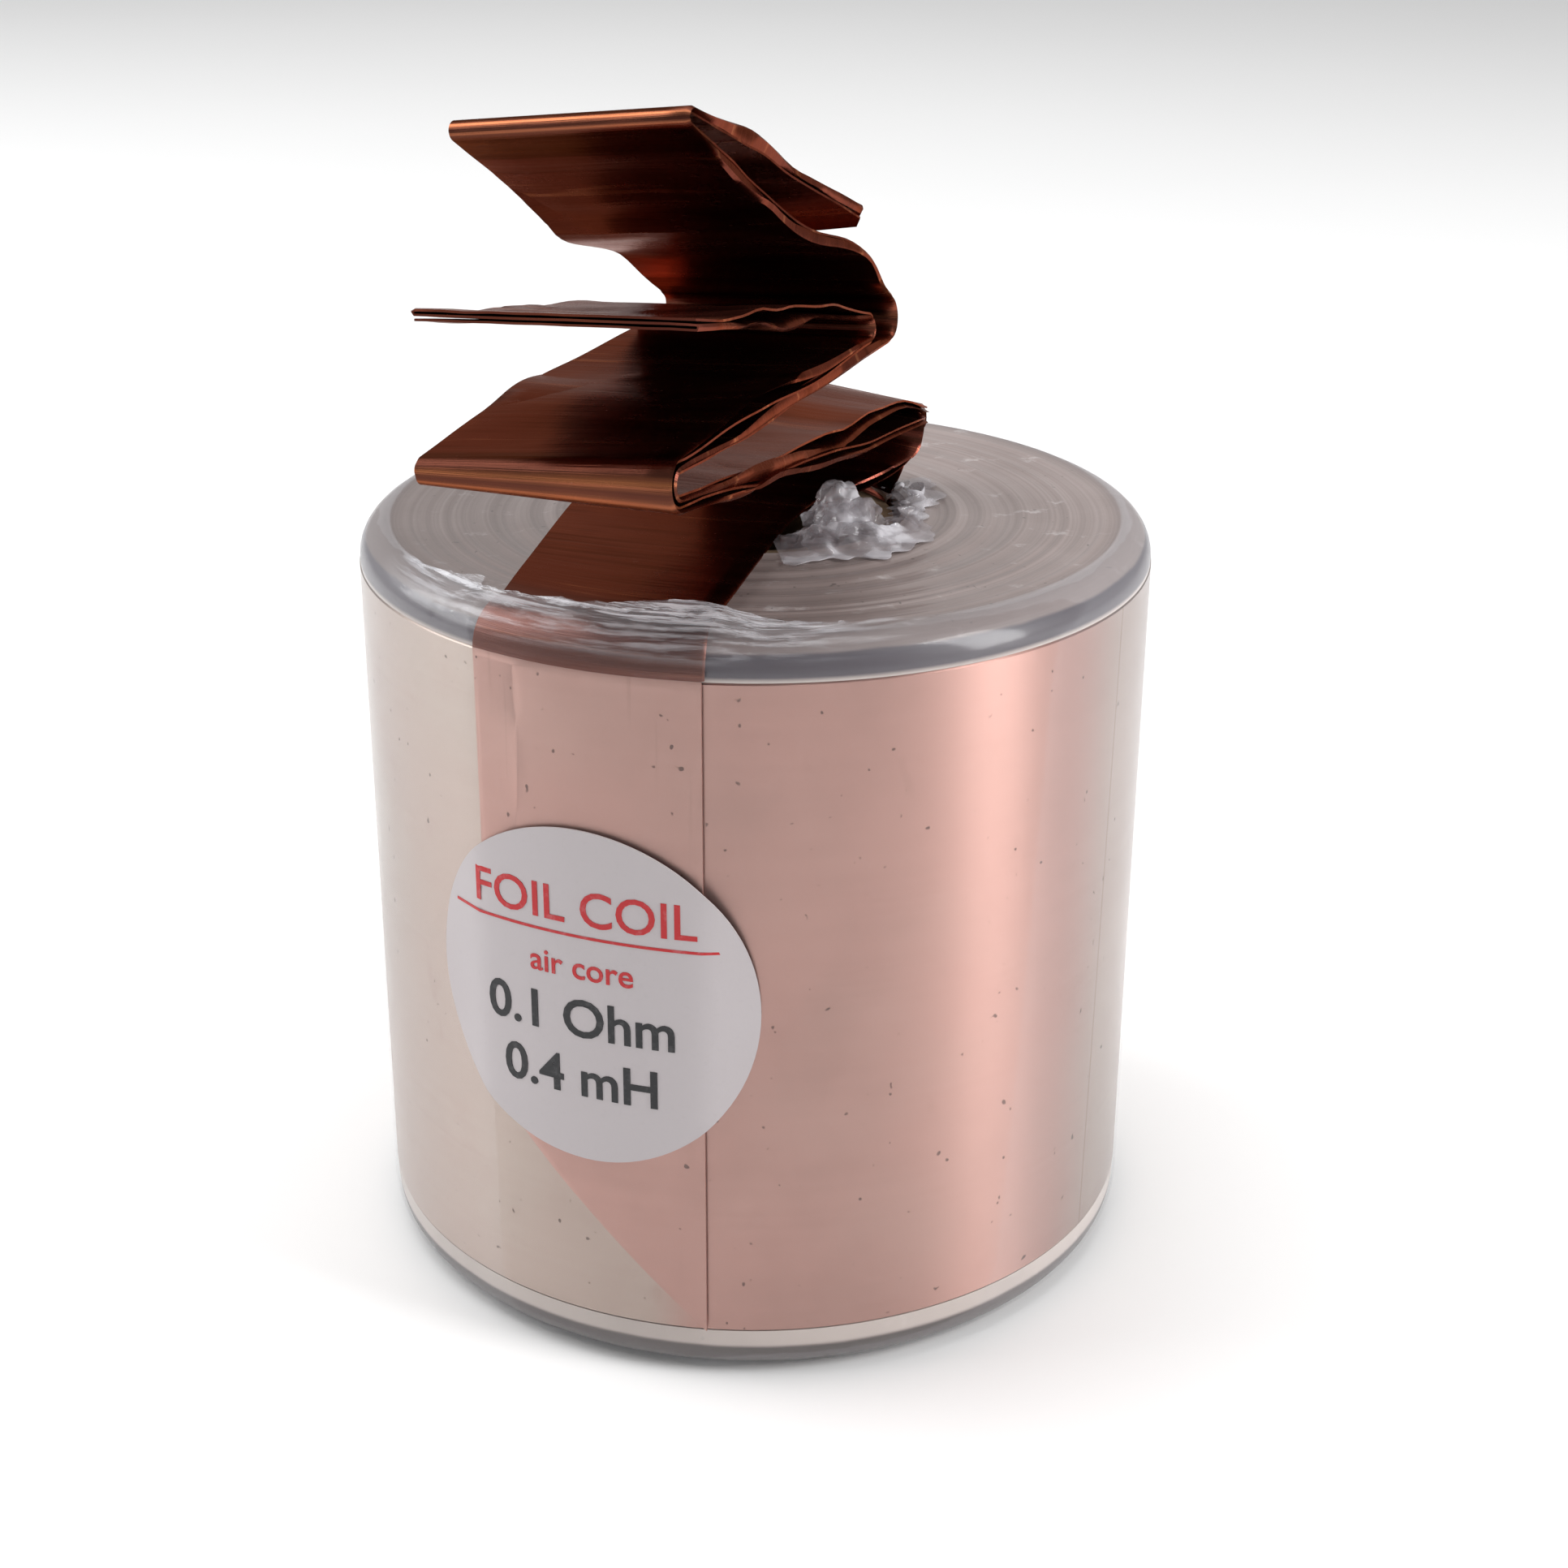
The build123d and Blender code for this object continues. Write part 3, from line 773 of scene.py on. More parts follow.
def eased(rows, first, last, passes):
    """Rounds the kinks between first and last, and leaves the other rows where they are."""
    for _ in range(passes):
        before = [(row.left, row.middle, row.right, row.up) for row in rows]
        for k in range(max(first, 1), min(last, len(rows) - 1)):
            (l0, m0, r0, u0), (l1, m1, r1, u1), (l2, m2, r2, u2) = before[k - 1:k + 2]
            row = rows[k]
            row.left, row.middle = (l0 + l2) / 4 + l1 / 2, (m0 + m2) / 4 + m1 / 2
            row.right, row.up = (r0 + r2) / 4 + r1 / 2, (u0 + u1 * 2 + u2).normalized()
    return rows


def widened(roll):
    """The loop's roll with its right edge 1 mm further out."""
    for row in roll:
        row.right = row.right + (row.right - row.left).normalized() * 1.0 * mm
    return roll


def run_on(rows, cuts, heading, turns, shapes, end, across, end_steps):
    """Takes a lead on over its other folds to its free end. It is cut halfway along each panel."""
    for k, (fold, radius, *turn) in enumerate(turns):
        if k + 1 < len(turns):
            leaving = heading_between(fold, radius, *turns[k + 1][:2])
        else:
            leaving = (end - fold[0]).normalized()
        roll = roll_rows(fold, radius, heading, leaving, *turn)
        panel = panel_rows(rows[-1], roll[0], 30, PANEL_SHAPES[shapes[k]])
        cuts.append(len(rows) + len(panel) // 2)
        rows += panel + roll
        heading = leaving
    free_end = straight_row(end, Vector(across).normalized(), heading)
    rows += panel_rows(rows[-1], free_end, end_steps, PANEL_SHAPES[shapes[-1]]) + [free_end]
    cuts.append(len(rows) - 1)


def outer_lead_rows():
    """The outer lead in the order it runs: over the rim, A, loop, B, front, C, back, D."""
    shoulder, turn_height = BARREL + FIT - RIM, FILM_TOP + FIT - RIM
    bend = RIM + STRIP_DEPTH / 2
    bend_steps, flat_steps = 12, 14
    rows = []
    for k in range(bend_steps + 1):
        angle = radians(90 * k / bend_steps)
        radius, height = shoulder + bend * cos(angle), turn_height + bend * sin(angle)
        left, middle, right = (
            at_azimuth(STRIP_AZIMUTH + STRIP_REACH * side, radius, height) for side in (-1, 0, 1))
        outward = direction(STRIP_AZIMUTH) * cos(angle) + Vector((0, 0, sin(angle)))
        rows.append(Row(left, middle, right, outward, -1.0))
    flat = FILM_TOP + FIT + STRIP_DEPTH / 2
    lift_left = Vector((-11.6 * mm, 2.1 * mm, flat))
    lift_right = Vector((2.65 * mm, -1.1 * mm, flat))
    last = rows[-1]
    for k in range(1, flat_steps + 1):
        t = k / flat_steps
        left = last.left.lerp(lift_left, t)
        right = last.right.lerp(lift_right, t)
        middle = last.middle.lerp((lift_left + lift_right) / 2, t)
        rows.append(Row(left, middle, right, (0, 0, 1), min(0.0, 6 * t - 1), 0.3 * sin(pi * t)))
    kink = len(rows) - 1
    arriving = LOOP[0] - (lift_left + lift_right) / 2
    away = heading_between(LOOP, INNER_LOOP, FRONT, OUTER_FOLD)
    roll = roll_rows(LOOP, INNER_LOOP, arriving, away, 18, shine=0.15)
    rise = panel_rows(rows[-1], roll[0], 12, {
        "bow": [(0, 0), (1, 0)], "left": [(0, 0), (1, 0)],
        "right": [(0, 0), (0.45, 1.6), (1, 1.1)]})
    mark = len(rows) + len(rise) // 2
    rows += rise + widened(roll)
    eased(rows, kink - 3, kink + 16, 6)
    cuts = [0, mark]
    # The last number of each turn sets how strong that roll's painted highlight is.
    run_on(rows, cuts, away,
           [(FRONT, OUTER_FOLD, 18, (0.42, 1.0), 1.0),
            (OUTER_BACK, INNER_FOLD, 12, (0.8, 1.0), 0.2)],
           ("outer_b", "outer_c", "outer_d"), OUTER_LEAD_END, (0.94, -0.34, 0.05), 26)
    return rows, cuts


def inner_lead_rows():
    """The inner lead in the order it runs: up from the core, loop, B, front, C, back, E, top, F."""
    centre, axis = LOOP
    across = level(axis)
    upwards = (Vector((0, 0, 1)) - across * across.z).normalized()
    head, upwards = touching(LOOP, OUTER_LOOP, upwards)
    foot = head - upwards * (centre.z - FILM_TOP - 2.0 * mm)
    base_radius = CORE + FIT + STRIP_DEPTH / 2
    spread = degrees(asin(STRIP_WIDTH / 2 / (CORE + 0.45 * mm)))
    middle_azimuth = 158.0
    rows = []
    for k in range(4):
        height = FILM_TOP - 1.2 * mm + 0.4 * mm * k
        left, middle, right = (
            at_azimuth(middle_azimuth - spread * side, base_radius, height) for side in (-1, 0, 1))
        rows.append(Row(left, middle, right, -direction(middle_azimuth)))
    away = heading_between(LOOP, OUTER_LOOP, FRONT, INNER_FOLD)
    roll = roll_rows(LOOP, OUTER_LOOP, upwards, away, 14, shine=0.15)
    last, straight = rows[-1], straight_row(foot, across, upwards)
    for k in range(1, 6):
        t = k / 5
        rows.append(Row(last.left.lerp(straight.left, t), last.middle.lerp(straight.middle, t),
                        last.right.lerp(straight.right, t), last.up.lerp(straight.up, t)))
    rows += panel_rows(straight, roll[0], 5, PLAIN)
    rows += widened(roll)
    eased(rows, 3, 16, 4)
    cuts = [0]
    # The last number of each turn sets how strong that roll's painted highlight is.
    run_on(rows, cuts, away,
           [(FRONT, INNER_FOLD, 14, (0.45, 1.0), 0.5),
            (INNER_BACK, OUTER_FOLD, 16, (0.8, 1.0), 0.2),
            (TOP, INNER_FOLD, 14, (0.5, 0.55), 0.9)],
           ("inner_b", "inner_c", "inner_e", "inner_f"), INNER_LEAD_END, (0.85, -0.50, 0.17), 24)
    return rows, cuts


LAYER_POINTS = 12


def folded_section():
    """(layer, u) points of the foil folded in three, from its free right edge to its free left."""
    points = []
    for layer, (start, end) in enumerate(((1, -1), (-1, 1), (1, -1))):
        for k in range(LAYER_POINTS):
            points.append((layer - 1.0, start + (end - start) * k / (LAYER_POINTS - 1)))
        if layer < 2:
            points.append((layer - 0.5, end * 1.018))
    return points


def lay_strip(rows, sizes, seed, ends_open=0.0):
    """lay(i, j) for a strip of foil folded in three along these rows. ends_open is how far its
    layers stand apart at its last end."""
    section = folded_section()
    count, parted = len(rows), 8

    def lay(i, j):
        layer, u = section[i]
        row = rows[j]
        loose = row.loose
        s = row.middle.length * 140 + seed * 7.3
        edge = abs(u) ** 3
        stagger = 0.012 * ripple(s * 0.8, layer * 3.1, seed) * loose
        width = u * (1 + stagger + 0.006 * ripple(s * 2.5, layer * 2.0, seed))
        opening = sizes.layer_spacing
        opening += loose * sizes.layer_opening * (0.35 + 0.65 * edge) * (
            0.6 + 0.4 * ripple(s * 0.6, 1.7, seed))
        height = layer * opening
        if loose:
            height += loose * sizes.lead_waves * (
                (0.5 + 0.8 * edge) * ripple(s * 1.3, u * 0.8, layer * 0.9 + seed)
                + 0.45 * ripple(s * 3.6, u * 1.3, layer * 0.5 + seed))
        if ends_open and j > count - parted:
            spread = (j - count + parted) / parted
            lift = layer + 1 + 0.4 * abs(ripple(u * 3.0, layer, seed))
            height += spread * spread * ends_open * lift
        return row.at(width) + row.up * height

    return lay


def build_strip(name, rows, sizes, materials, seed, ends_open=0.0):
    columns = len(folded_section()) - 1
    piece = sheet(name, columns, len(rows) - 1, lay_strip(rows, sizes, seed, ends_open))
    # The fold attribute holds each row's painted fold highlight; below zero it marks the foil under
    # the film.
    fold = piece.data.attributes.new("fold", "FLOAT", "POINT")
    width = columns + 1
    values = [rows[k // width].fold for k in range(len(piece.data.vertices))]
    fold.data.foreach_set("value", values)
    thickened(piece, sizes.foil_gauge, rim_finish=True)
    smoothed(piece, 50)
    return finished(piece, materials)


def build_lead(context, names, course, seed, end_opening):
    """The pieces of one lead, from its rows and the places where it is cut."""
    sizes, colours = context.scene.coil_sizes, context.scene.coil_colours
    finishes = [material_once("tarnished lead", lead_finish, colours),
                material_once("cut foil edge", foil_edge_finish)]
    rows, cuts = course
    return [
        build_strip(name, rows[start:end + 1], sizes, finishes, seed,
                    end_opening if name == names[-1] else 0.0)
        for name, start, end in zip(names, cuts, cuts[1:])]


def material_once(name, make, *values):
    return bpy.data.materials.get(name) or make(name, *values)


# ---- operators -----------------------------------------------------------------------
class COIL_OT_stage(Operator):
    """Adds the floor, the studio lights and the camera"""
    bl_idname = "coil.stage"
    bl_label = "Stage"

    def execute(self, context):
        sizes = context.scene.coil_sizes
        floor = added("floor", bpy.ops.mesh.primitive_grid_add,
                      x_subdivisions=8, y_subdivisions=8, size=sizes.floor_size)
        floor.location.z = min(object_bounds()[0].z, 0.0)
        settle(floor)
        floor.data.materials.append(material_once("pale floor", floor_finish))
        floor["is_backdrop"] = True
        world = bpy.data.worlds.new("pale room")
        world.use_nodes = True
        world.node_tree.nodes["Background"].inputs["Color"].default_value = (1, 1, 1, 1)
        world.node_tree.nodes["Background"].inputs["Strength"].default_value = 0.42
        context.scene.world = world
        context.scene.view_settings.view_transform = "Standard"
        lights = (
            ("window", (-0.62, 0.10, 0.42), (0, 0, 0.03), (0.50, 0.60), 3.7),
            ("right_panel", (0.52, -0.20, 0.30), (0, 0, 0.03), (0.20, 0.55), 3.5),
            ("overhead", (-0.10, 0.10, 0.80), (0, 0, 0.04), (0.6, 0.6), 3.6),
        )
        for name, place, target, (width, height), power in lights:
            bpy.ops.object.light_add(type="AREA", location=place)
            light = bpy.context.active_object
            light.name = name
            aim = Vector(target) - Vector(place)
            light.rotation_euler = aim.to_track_quat("-Z", "Y").to_euler()
            light.data.shape = "RECTANGLE"
            light.data.size, light.data.size_y = width, height
            light.data.energy = power
        bpy.ops.object.camera_add()
        camera = bpy.context.active_object
        tilt, yaw, roll = radians(23.497), radians(-0.681), radians(0.292)
        distance, height = 175.79 * mm, 30.15 * mm
        sight = Vector((-sin(yaw) * cos(tilt), cos(yaw) * cos(tilt), -sin(tilt)))
        right = sight.cross(Vector((0, 0, 1))).normalized()
        upward = right.cross(sight)
        sideways = right * cos(roll) + upward * sin(roll)
        upward = upward * cos(roll) - right * sin(roll)
        camera.matrix_world = Matrix((
            (sideways.x, upward.x, -sight.x, 0.0),
            (sideways.y, upward.y, -sight.y, -distance * cos(tilt)),
            (sideways.z, upward.z, -sight.z, height + distance * sin(tilt)),
            (0, 0, 0, 1)))
        camera.data.lens = 58.9
        camera.data.sensor_width = 36
        camera.data.clip_start = 5 * mm
        context.scene.camera = camera
        return {"FINISHED"}


class COIL_OT_winding(Operator):
    """Adds the foil's outer turn and the film's stacked edges, and finishes the core tube"""
    bl_idname = "coil.winding"
    bl_label = "Winding and core"

    def execute(self, context):
        colours = context.scene.coil_colours
        inner = CORE + 0.5 * mm
        foil = turned("foil_barrel", [
            (inner, FOIL_BOTTOM), (BARREL - 0.12 * mm, FOIL_BOTTOM),
            (BARREL, FOIL_BOTTOM + 0.1 * mm),
            (BARREL, FOIL_BOTTOM + 11 * mm), (BARREL, FOIL_BOTTOM + 22 * mm),
            (BARREL, FOIL_TOP - 11 * mm), (BARREL, FOIL_TOP - 0.1 * mm),
            (BARREL - 0.12 * mm, FOIL_TOP), (inner, FOIL_TOP)], 256)
        smoothed(foil, 35)
        finished(foil, [copper_wall_finish("foil under film", colours, False)])
        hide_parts("copper_winding")
        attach(foil, "coil")

        margin = 0.03 * mm
        face = []
        outer, hole = BARREL - 2.5 * mm, CORE + 0.5 * mm
        for k in range(1, 90):
            radius = outer - (outer - hole) * k / 90
            wave = 0.05 * ripple(k * 0.9) + 0.10 * ripple(k * 0.13) - 0.12 * sin(pi * k / 90)
            face.append((radius, FILM_TOP + wave * mm))
        upper = [(hole, FOIL_TOP + margin), (BARREL - 0.05 * mm, FOIL_TOP + margin)]
        upper += rounding(BARREL - 0.05 * mm - 2.05 * mm, FILM_TOP - 2.05 * mm, 2.05 * mm, 0, 90, 9)
        upper += face + [(hole, FILM_TOP)]
        top = turned("film_edges_top", upper, 192)
        lower = [(radius, FILM_BOTTOM + FILM_TOP - height) for radius, height in face]
        under = [(hole, FOIL_BOTTOM - margin), (BARREL - 0.05 * mm, FOIL_BOTTOM - margin)]
        under += rounding(BARREL - 2.1 * mm, FILM_BOTTOM + 2.05 * mm, 2.05 * mm, 0, -90, 9)
        under += lower + [(hole, FILM_BOTTOM)]
        bottom = turned("film_edges_bottom", under, 192)
        end_finish = film_end_finish("stacked film edges", colours)
        for piece in (top, bottom):
            smoothed(piece, 50)
            finished(piece, [end_finish])
            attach(piece, "coil")
        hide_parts("film_winding")

        dress("core_tube", card_finish("wound card", colours))
        return {"FINISHED"}


class COIL_OT_side_strip(Operator):
    """Adds the outer lead where it lies against the coil's side, its end folded at 45 degrees"""
    bl_idname = "coil.side_strip"
    bl_label = "Lead at the side"

    def execute(self, context):
        top = FILM_TOP + FIT - RIM
        columns, rows = 36, 60

        def lay(i, j):
            u = 2 * i / columns - 1
            low = FOIL_BOTTOM + 0.15 * mm + STRIP_WIDTH * (1 - u) / 2
            height = low + (top - low) * j / rows
            thick = 0.30 * mm + 0.16 * mm * abs(u) ** 4
            thick += 0.02 * mm * ripple(u * 2, height * 180)
            return at_azimuth(STRIP_AZIMUTH + STRIP_REACH * u, BARREL + thick, height)

        strip = sheet("lead_side_strip", columns, rows, lay)
        thickened(strip, 0.22 * mm, offset=-1)
        bevel = strip.modifiers.new("Soft edge", "BEVEL")
        bevel.width, bevel.segments, bevel.limit_method = 0.05 * mm, 2, "ANGLE"
        selected_alone(strip)
        bpy.ops.object.modifier_apply(modifier=bevel.name)
        smoothed(strip, 40)
        foil = copper_wall_finish("lead under film", context.scene.coil_colours, True)
        finished(strip, [foil])
        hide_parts("outer_lead_side_run")
        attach(strip, "coil")
        dress("inner_lead_core_run", foil)
        return {"FINISHED"}


class COIL_OT_wrap(Operator):
    """Adds the clear wrap with its shrunk, wrinkled rims"""
    bl_idname = "coil.wrap"
    bl_label = "Clear wrap"

    def execute(self, context):
        sizes = context.scene.coil_sizes
        columns = sizes.wrap_steps
        lip, bend, wall = 8, 10, 16
        rows = 2 * (lip + bend) + wall

        def lay(i, j):
            azimuth = 360 * (i % columns) / columns - 180
            radius = wrap_radius(azimuth)
            high, low = wrap_top(azimuth), FILM_BOTTOM - 0.14 * mm
            mouth = wrap_mouth(azimuth)
            upper = j >= rows / 2
            k = rows - j if upper else j
            if k < lip:
                share = k / lip
                start = mouth if upper else (22.4 + 0.35 * ripple(azimuth * 0.11, 8)) * mm
                reach = start + (radius - RIM - start) * share
                height = high if upper else low
                if upper:
                    near = 0.15 + 0.85 * beside_lead(azimuth)
                    folds = abs(ripple(azimuth * 0.12, share * 4.5, 4))
                    folds += 0.5 * abs(ripple(azimuth * 0.5, share * 6, 7))
                    folds *= sin(pi * min(1 - share * 0.8, 0.9))
                    height += folds * sizes.film_wrinkles * near
                return at_azimuth(azimuth, reach, height)
            if k <= lip + bend:
                angle = radians(90 * (1 - (k - lip) / bend))
                wrinkle = sin(2 * angle) * sizes.film_wrinkles * (0.2 + 0.8 * beside_lead(azimuth))
                crease = abs(ripple(azimuth * 0.2, angle * 2, 6))
                crease += 0.4 * ripple(azimuth * 0.7, angle)
                tuck = RIM - wrinkle * max(crease, 0) * 0.7
                reach = radius - RIM + tuck * cos(angle)
                rise = tuck * sin(angle)
                height = high - RIM + rise if upper else low + RIM - rise
                return at_azimuth(azimuth, reach, height)
            share = (j - lip - bend) / wall
            height = low + RIM + (high - RIM - low - RIM) * share
            seam = abs((azimuth - SEAM_AZIMUTH + 180) % 360 - 180)
            step = 0.05 * mm if seam < 1.0 else 0.0
            return at_azimuth(azimuth, radius + step, height)

        film = sheet("clear_wrap", columns, rows, lay)
        merged(film, 0.002 * mm, outwards=False)
        thickened(film, sizes.film_gauge, offset=0.0)
        merged(film, 0.0005 * mm)
        smoothed(film, 60)
        finished(film, [clear_film_finish("clear wrap", 0.01, 0.6)])
        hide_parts("sleeve")
        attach(film, "coil")
        return {"FINISHED"}


class COIL_OT_label(Operator):
    """Adds the round label, bent over the wrap, with plain generic print"""
    bl_idname = "coil.label"
    bl_label = "Label"

    def execute(self, context):
        sizes, colours = context.scene.coil_sizes, context.scene.coil_colours

        def on_wrap(across, up, lift):
            azimuth = LABEL_AZIMUTH + degrees(across / (BARREL + 0.6 * mm))
            return at_azimuth(azimuth, wrap_radius(azimuth) + lift, sizes.label_height + up)

        columns, rows = 96, 14

        def lay(i, j):
            angle = 2 * pi * (i % columns) / columns
            reach = sizes.label_radius * (j / rows)
            curl = 0.10 * mm * (j / rows) ** 8 * max(0, ripple(angle * 1.2, 3))
            return on_wrap(reach * cos(angle), reach * sin(angle), 0.10 * mm + curl)

        disc = sheet("label_disc", columns, rows, lay)
        merged(disc, 0.005 * mm, outwards=False)
        thickened(disc, 0.11 * mm, offset=0.0)
        merged(disc, 0.0005 * mm)
        smoothed(disc, 40)
        finished(disc, [
            paper_finish("label paper", colours),
            ink_finish("red ink", tuple(colours.red_ink), (0.50, 0.16, 0.17)),
            ink_finish("black ink", (0.012, 0.012, 0.014), (0.10, 0.095, 0.10))])
        prints = [
            ("FOIL COIL", 3.3, -0.1, 5.0, 1), ("air core", 2.2, 0.0, 1.35, 1),
            ("0.1 Ohm", 3.6, -0.3, -2.6, 2), ("0.4 mH", 3.6, -0.3, -6.7, 2)]
        inks, print_lift = [], 0.175 * mm
        for words, size, across, up, ink in prints:
            text = added("print", bpy.ops.object.text_add)
            text.data.body = words
            text.data.size = size * mm
            text.data.align_x = "CENTER"
            text.data.extrude = 0.02 * mm
            text.data.offset = 0.05 * mm if ink == 2 else 0.02 * mm
            text.data.resolution_u = 4
            bpy.ops.object.convert(target="MESH")
            text = bpy.context.active_object
            for vertex in text.data.vertices:
                x, y, z = vertex.co
                vertex.co = on_wrap(x + across * mm, y + up * mm, print_lift + z)
            inks.append((text, ink))
        rule = added("rule", bpy.ops.mesh.primitive_grid_add,
                     x_subdivisions=40, y_subdivisions=1, size=2)
        for vertex in rule.data.vertices:
            vertex.co = on_wrap(
                vertex.co.x * 9.6 * mm, (4.2 + vertex.co.y * 0.09) * mm, print_lift)
        thickened(rule, 0.03 * mm)
        inks.append((rule, 1))
        for piece, ink in inks:
            piece.data.materials.clear()
            for material in disc.data.materials:
                piece.data.materials.append(material)
            for face in piece.data.polygons:
                face.material_index = ink
        selected_alone(disc, *(piece for piece, _ in inks))
        bpy.ops.object.join()
        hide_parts("label")
        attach(disc, "coil")
        return {"FINISHED"}


class COIL_OT_outer_lead(Operator):
    """Adds the outer lead from the coil's rim to its free end"""
    bl_idname = "coil.outer_lead"
    bl_label = "Outer lead"

    def execute(self, context):
        over_rim, loop, front, end = build_lead(
            context,
            ("outer_lead_over_rim", "outer_lead_loop", "outer_lead_front", "outer_lead_end"),
            outer_lead_rows(), 1, 0.12 * mm)
        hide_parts("outer_lead_rim_bend", "outer_lead_panel_a")
        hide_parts("outer_lead_panel_b")
        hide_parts("outer_lead_panel_c")
        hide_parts("outer_lead_panel_d")
        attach(over_rim, "coil")
        turn_over(loop, LOOP, INNER_LOOP,
                  LIFT, beside_fold(FRONT, -OUTER_FOLD))
        turn_over(front, FRONT, OUTER_FOLD,
                  beside_fold(LOOP, INNER_LOOP), beside_fold(OUTER_BACK, -INNER_FOLD), spread=0.25)
        turn_over(end, OUTER_BACK, INNER_FOLD,
                  beside_fold(FRONT, OUTER_FOLD), OUTER_LEAD_END)
        return {"FINISHED"}


def beside_fold(fold, height):
    """Where a strip passes the middle of a fold, above its line or below it."""
    return fold[0] + Vector((0, 0, height))


def turn_over(piece, fold, radius, before, after, spread=0.45):
    """Bakes the piece's transform into its mesh and leaves it unbent. before and after are the far
    ends of the panels that meet at the fold, and spread is the share of the roll's radius that a
    span across the fold's line covers, less where the panels lie close; that span is worked out but
    not used."""
    centre, axis = fold
    rise = Vector((0, 0, radius))
    beside = (after - centre - rise).normalized() - (before - centre + rise).normalized()
    beside = (beside - axis * beside.dot(axis)).normalized() * radius * spread
    centre - beside
    centre + beside
    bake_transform(piece)


class COIL_OT_inner_lead(Operator):
    """Adds the inner lead from the core to its free end"""
    bl_idname = "coil.inner_lead"
    bl_label = "Inner lead"

    def execute(self, context):
        loop, front, back, end = build_lead(
            context, ("inner_lead_loop", "inner_lead_front", "inner_lead_back", "inner_lead_end"),
            inner_lead_rows(), 4, 0.3 * mm)
        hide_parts("inner_lead_riser", "inner_lead_panel_b")
        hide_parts("inner_lead_panel_c")
        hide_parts("inner_lead_panel_e")
        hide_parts("inner_lead_panel_f")
        turn_over(loop, LOOP, OUTER_LOOP,
                  beside_fold(LOOP, -10 * mm), beside_fold(FRONT, -INNER_FOLD))
        turn_over(front, FRONT, INNER_FOLD,
                  beside_fold(LOOP, OUTER_LOOP), beside_fold(INNER_BACK, -OUTER_FOLD), spread=0.07)
        turn_over(back, INNER_BACK, OUTER_FOLD,
                  beside_fold(FRONT, INNER_FOLD), beside_fold(TOP, -INNER_FOLD))
        turn_over(end, TOP, INNER_FOLD,
                  beside_fold(INNER_BACK, OUTER_FOLD), INNER_LEAD_END, spread=0.12)
        return {"FINISHED"}


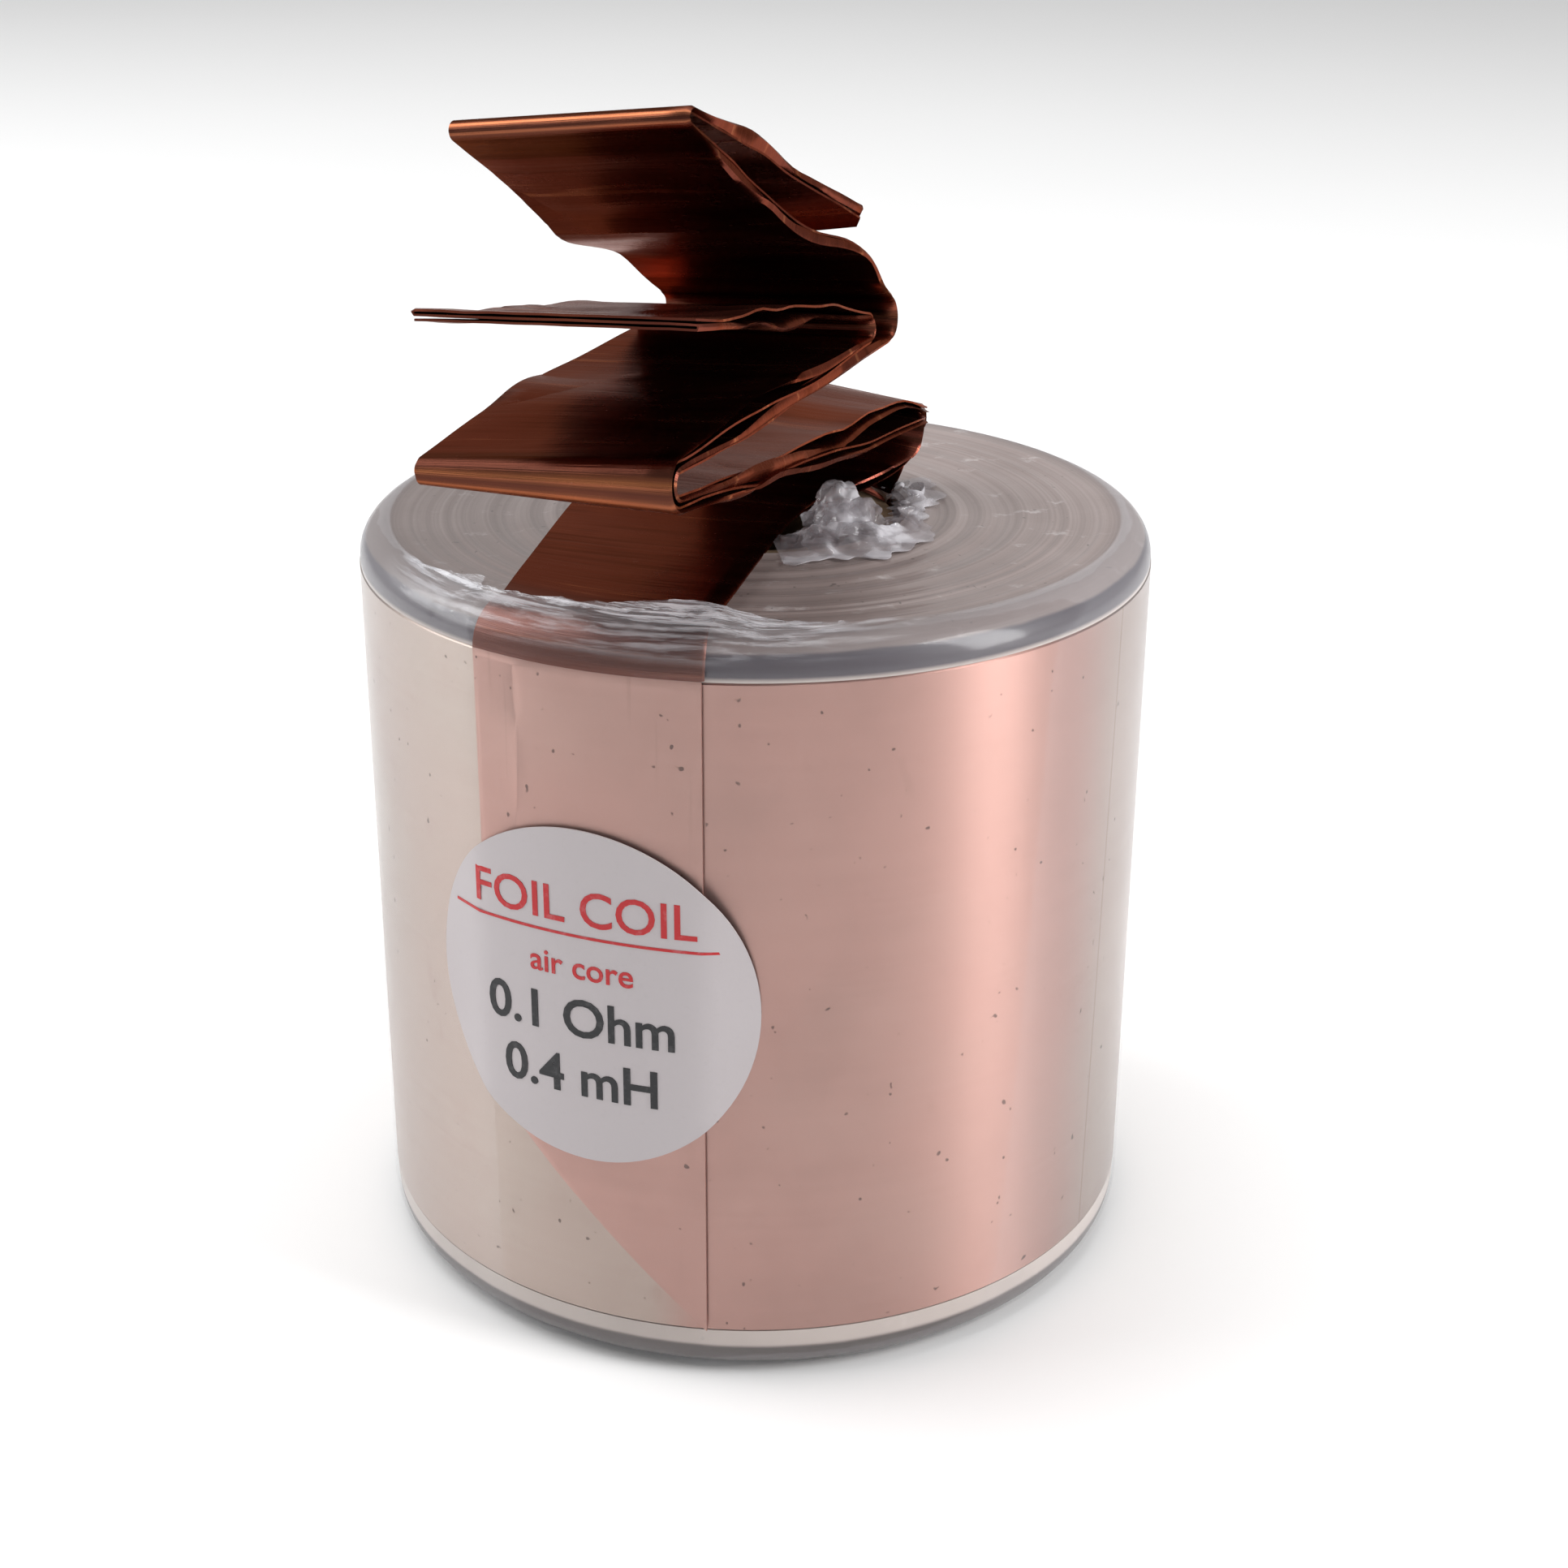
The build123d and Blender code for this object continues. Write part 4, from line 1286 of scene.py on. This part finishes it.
class COIL_OT_glue(Operator):
    """Adds the drops of glue and the crumpled film round the mouth of the core"""
    bl_idname = "coil.glue"
    bl_label = "Glue and crumpled film"

    def execute(self, context):
        drops = ((5.3, -1.0, 1.6, 1.9), (5.7, -4.0, 1.9, 1.7), (4.7, -6.7, 1.7, 1.0),
                 (6.9, -2.6, 1.3, 1.4), (4.2, -2.8, 1.1, 1.0), (7.0, -6.0, 1.4, 0.8))
        lumps = []
        for x, y, radius, height in drops:
            lump = added("drop", bpy.ops.mesh.primitive_ico_sphere_add, subdivisions=5, radius=1)
            for vertex in lump.data.vertices:
                p = vertex.co.copy()
                bump = 1 + 0.16 * ripple(p.x * 2 + x, p.y * 2 + y, p.z * 2)
                bump += 0.05 * abs(ripple(p.x * 4 + x, p.y * 4 + y, p.z * 4))
                swell = radius * bump * mm
                vertex.co = Vector((x * mm + p.x * swell, y * mm + p.y * swell,
                                    FILM_TOP + max(p.z * height * bump, -0.25) * mm))
            lumps.append(lump)
        selected_alone(*lumps)
        bpy.ops.object.join()
        glue = settle(bpy.context.active_object)
        glue.name = glue.data.name = "set_glue"
        smoothed(glue, 60)
        finished(glue, [crumpled_film_finish("set glue", 0.30)])
        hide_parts("hot_glue")
        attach(glue, "coil")

        columns, rows = 150, 26

        def lay(i, j):
            azimuth = 8 + 112 * i / columns
            v = j / rows
            inner = through([(8, 6.1), (42, 6.5), (58, 9.1), (120, 9.3)], azimuth) * mm
            outer = (12.3 + 1.2 * ripple(azimuth * 0.05, 2)) * mm
            radius = inner + (outer - inner) * v + 0.45 * mm * ripple(azimuth * 0.2, v * 4, 1)
            edge = min(1.0, 6 * i / columns, 6 * (1 - i / columns))
            crest = sin(pi * min(v * 1.25, 1.0)) ** 0.8
            folds = abs(ripple(azimuth * 0.08, v * 4.2, 5))
            folds += 0.12 * abs(ripple(azimuth * 0.3, v * 7, 9))
            size = through([(8, 0.6), (28, 1.1), (44, 0.6), (70, 0.35), (100, 0.6)], azimuth)
            height = (0.12 + edge * crest * size * (0.25 + 1.25 * folds)) * mm
            return at_azimuth(azimuth, radius, FILM_TOP + height)

        film = sheet("crumpled_film_ring", columns, rows, lay)
        thickened(film, 0.05 * mm)
        smoothed(film, 50)
        finished(film, [crumpled_film_finish("crumpled film", 0.16)])
        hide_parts("crumpled_film")
        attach(film, "coil")
        return {"FINISHED"}


class COIL_PT_panel(Panel):
    """Lists the coil's pieces and settings"""
    bl_idname = "COIL_PT_panel"
    bl_label = "Foil coil"
    bl_space_type = "VIEW_3D"
    bl_region_type = "UI"
    bl_category = "Coil"

    def draw(self, context):
        layout = self.layout
        for operator in OPERATORS:
            layout.operator(operator.bl_idname)
        for group in (context.scene.coil_sizes, context.scene.coil_colours):
            column = layout.column()
            for name in group.__annotations__:
                column.prop(group, name)


OPERATORS = (COIL_OT_stage, COIL_OT_winding, COIL_OT_side_strip, COIL_OT_wrap, COIL_OT_label,
             COIL_OT_outer_lead, COIL_OT_inner_lead, COIL_OT_glue)
CLASSES = (CoilSizes, CoilColours, *OPERATORS, COIL_PT_panel)


def register():
    for cls in CLASSES:
        bpy.utils.register_class(cls)
    bpy.types.Scene.coil_sizes = PointerProperty(type=CoilSizes)
    bpy.types.Scene.coil_colours = PointerProperty(type=CoilColours)


def unregister():
    del bpy.types.Scene.coil_colours
    del bpy.types.Scene.coil_sizes
    for cls in reversed(CLASSES):
        bpy.utils.unregister_class(cls)


def main():
    register()
    bpy.ops.coil.winding()
    bpy.ops.coil.side_strip()
    bpy.ops.coil.wrap()
    bpy.ops.coil.label()
    bpy.ops.coil.outer_lead()
    bpy.ops.coil.inner_lead()
    bpy.ops.coil.glue()
    bpy.ops.coil.stage()


if __name__ == "__main__":
    main()
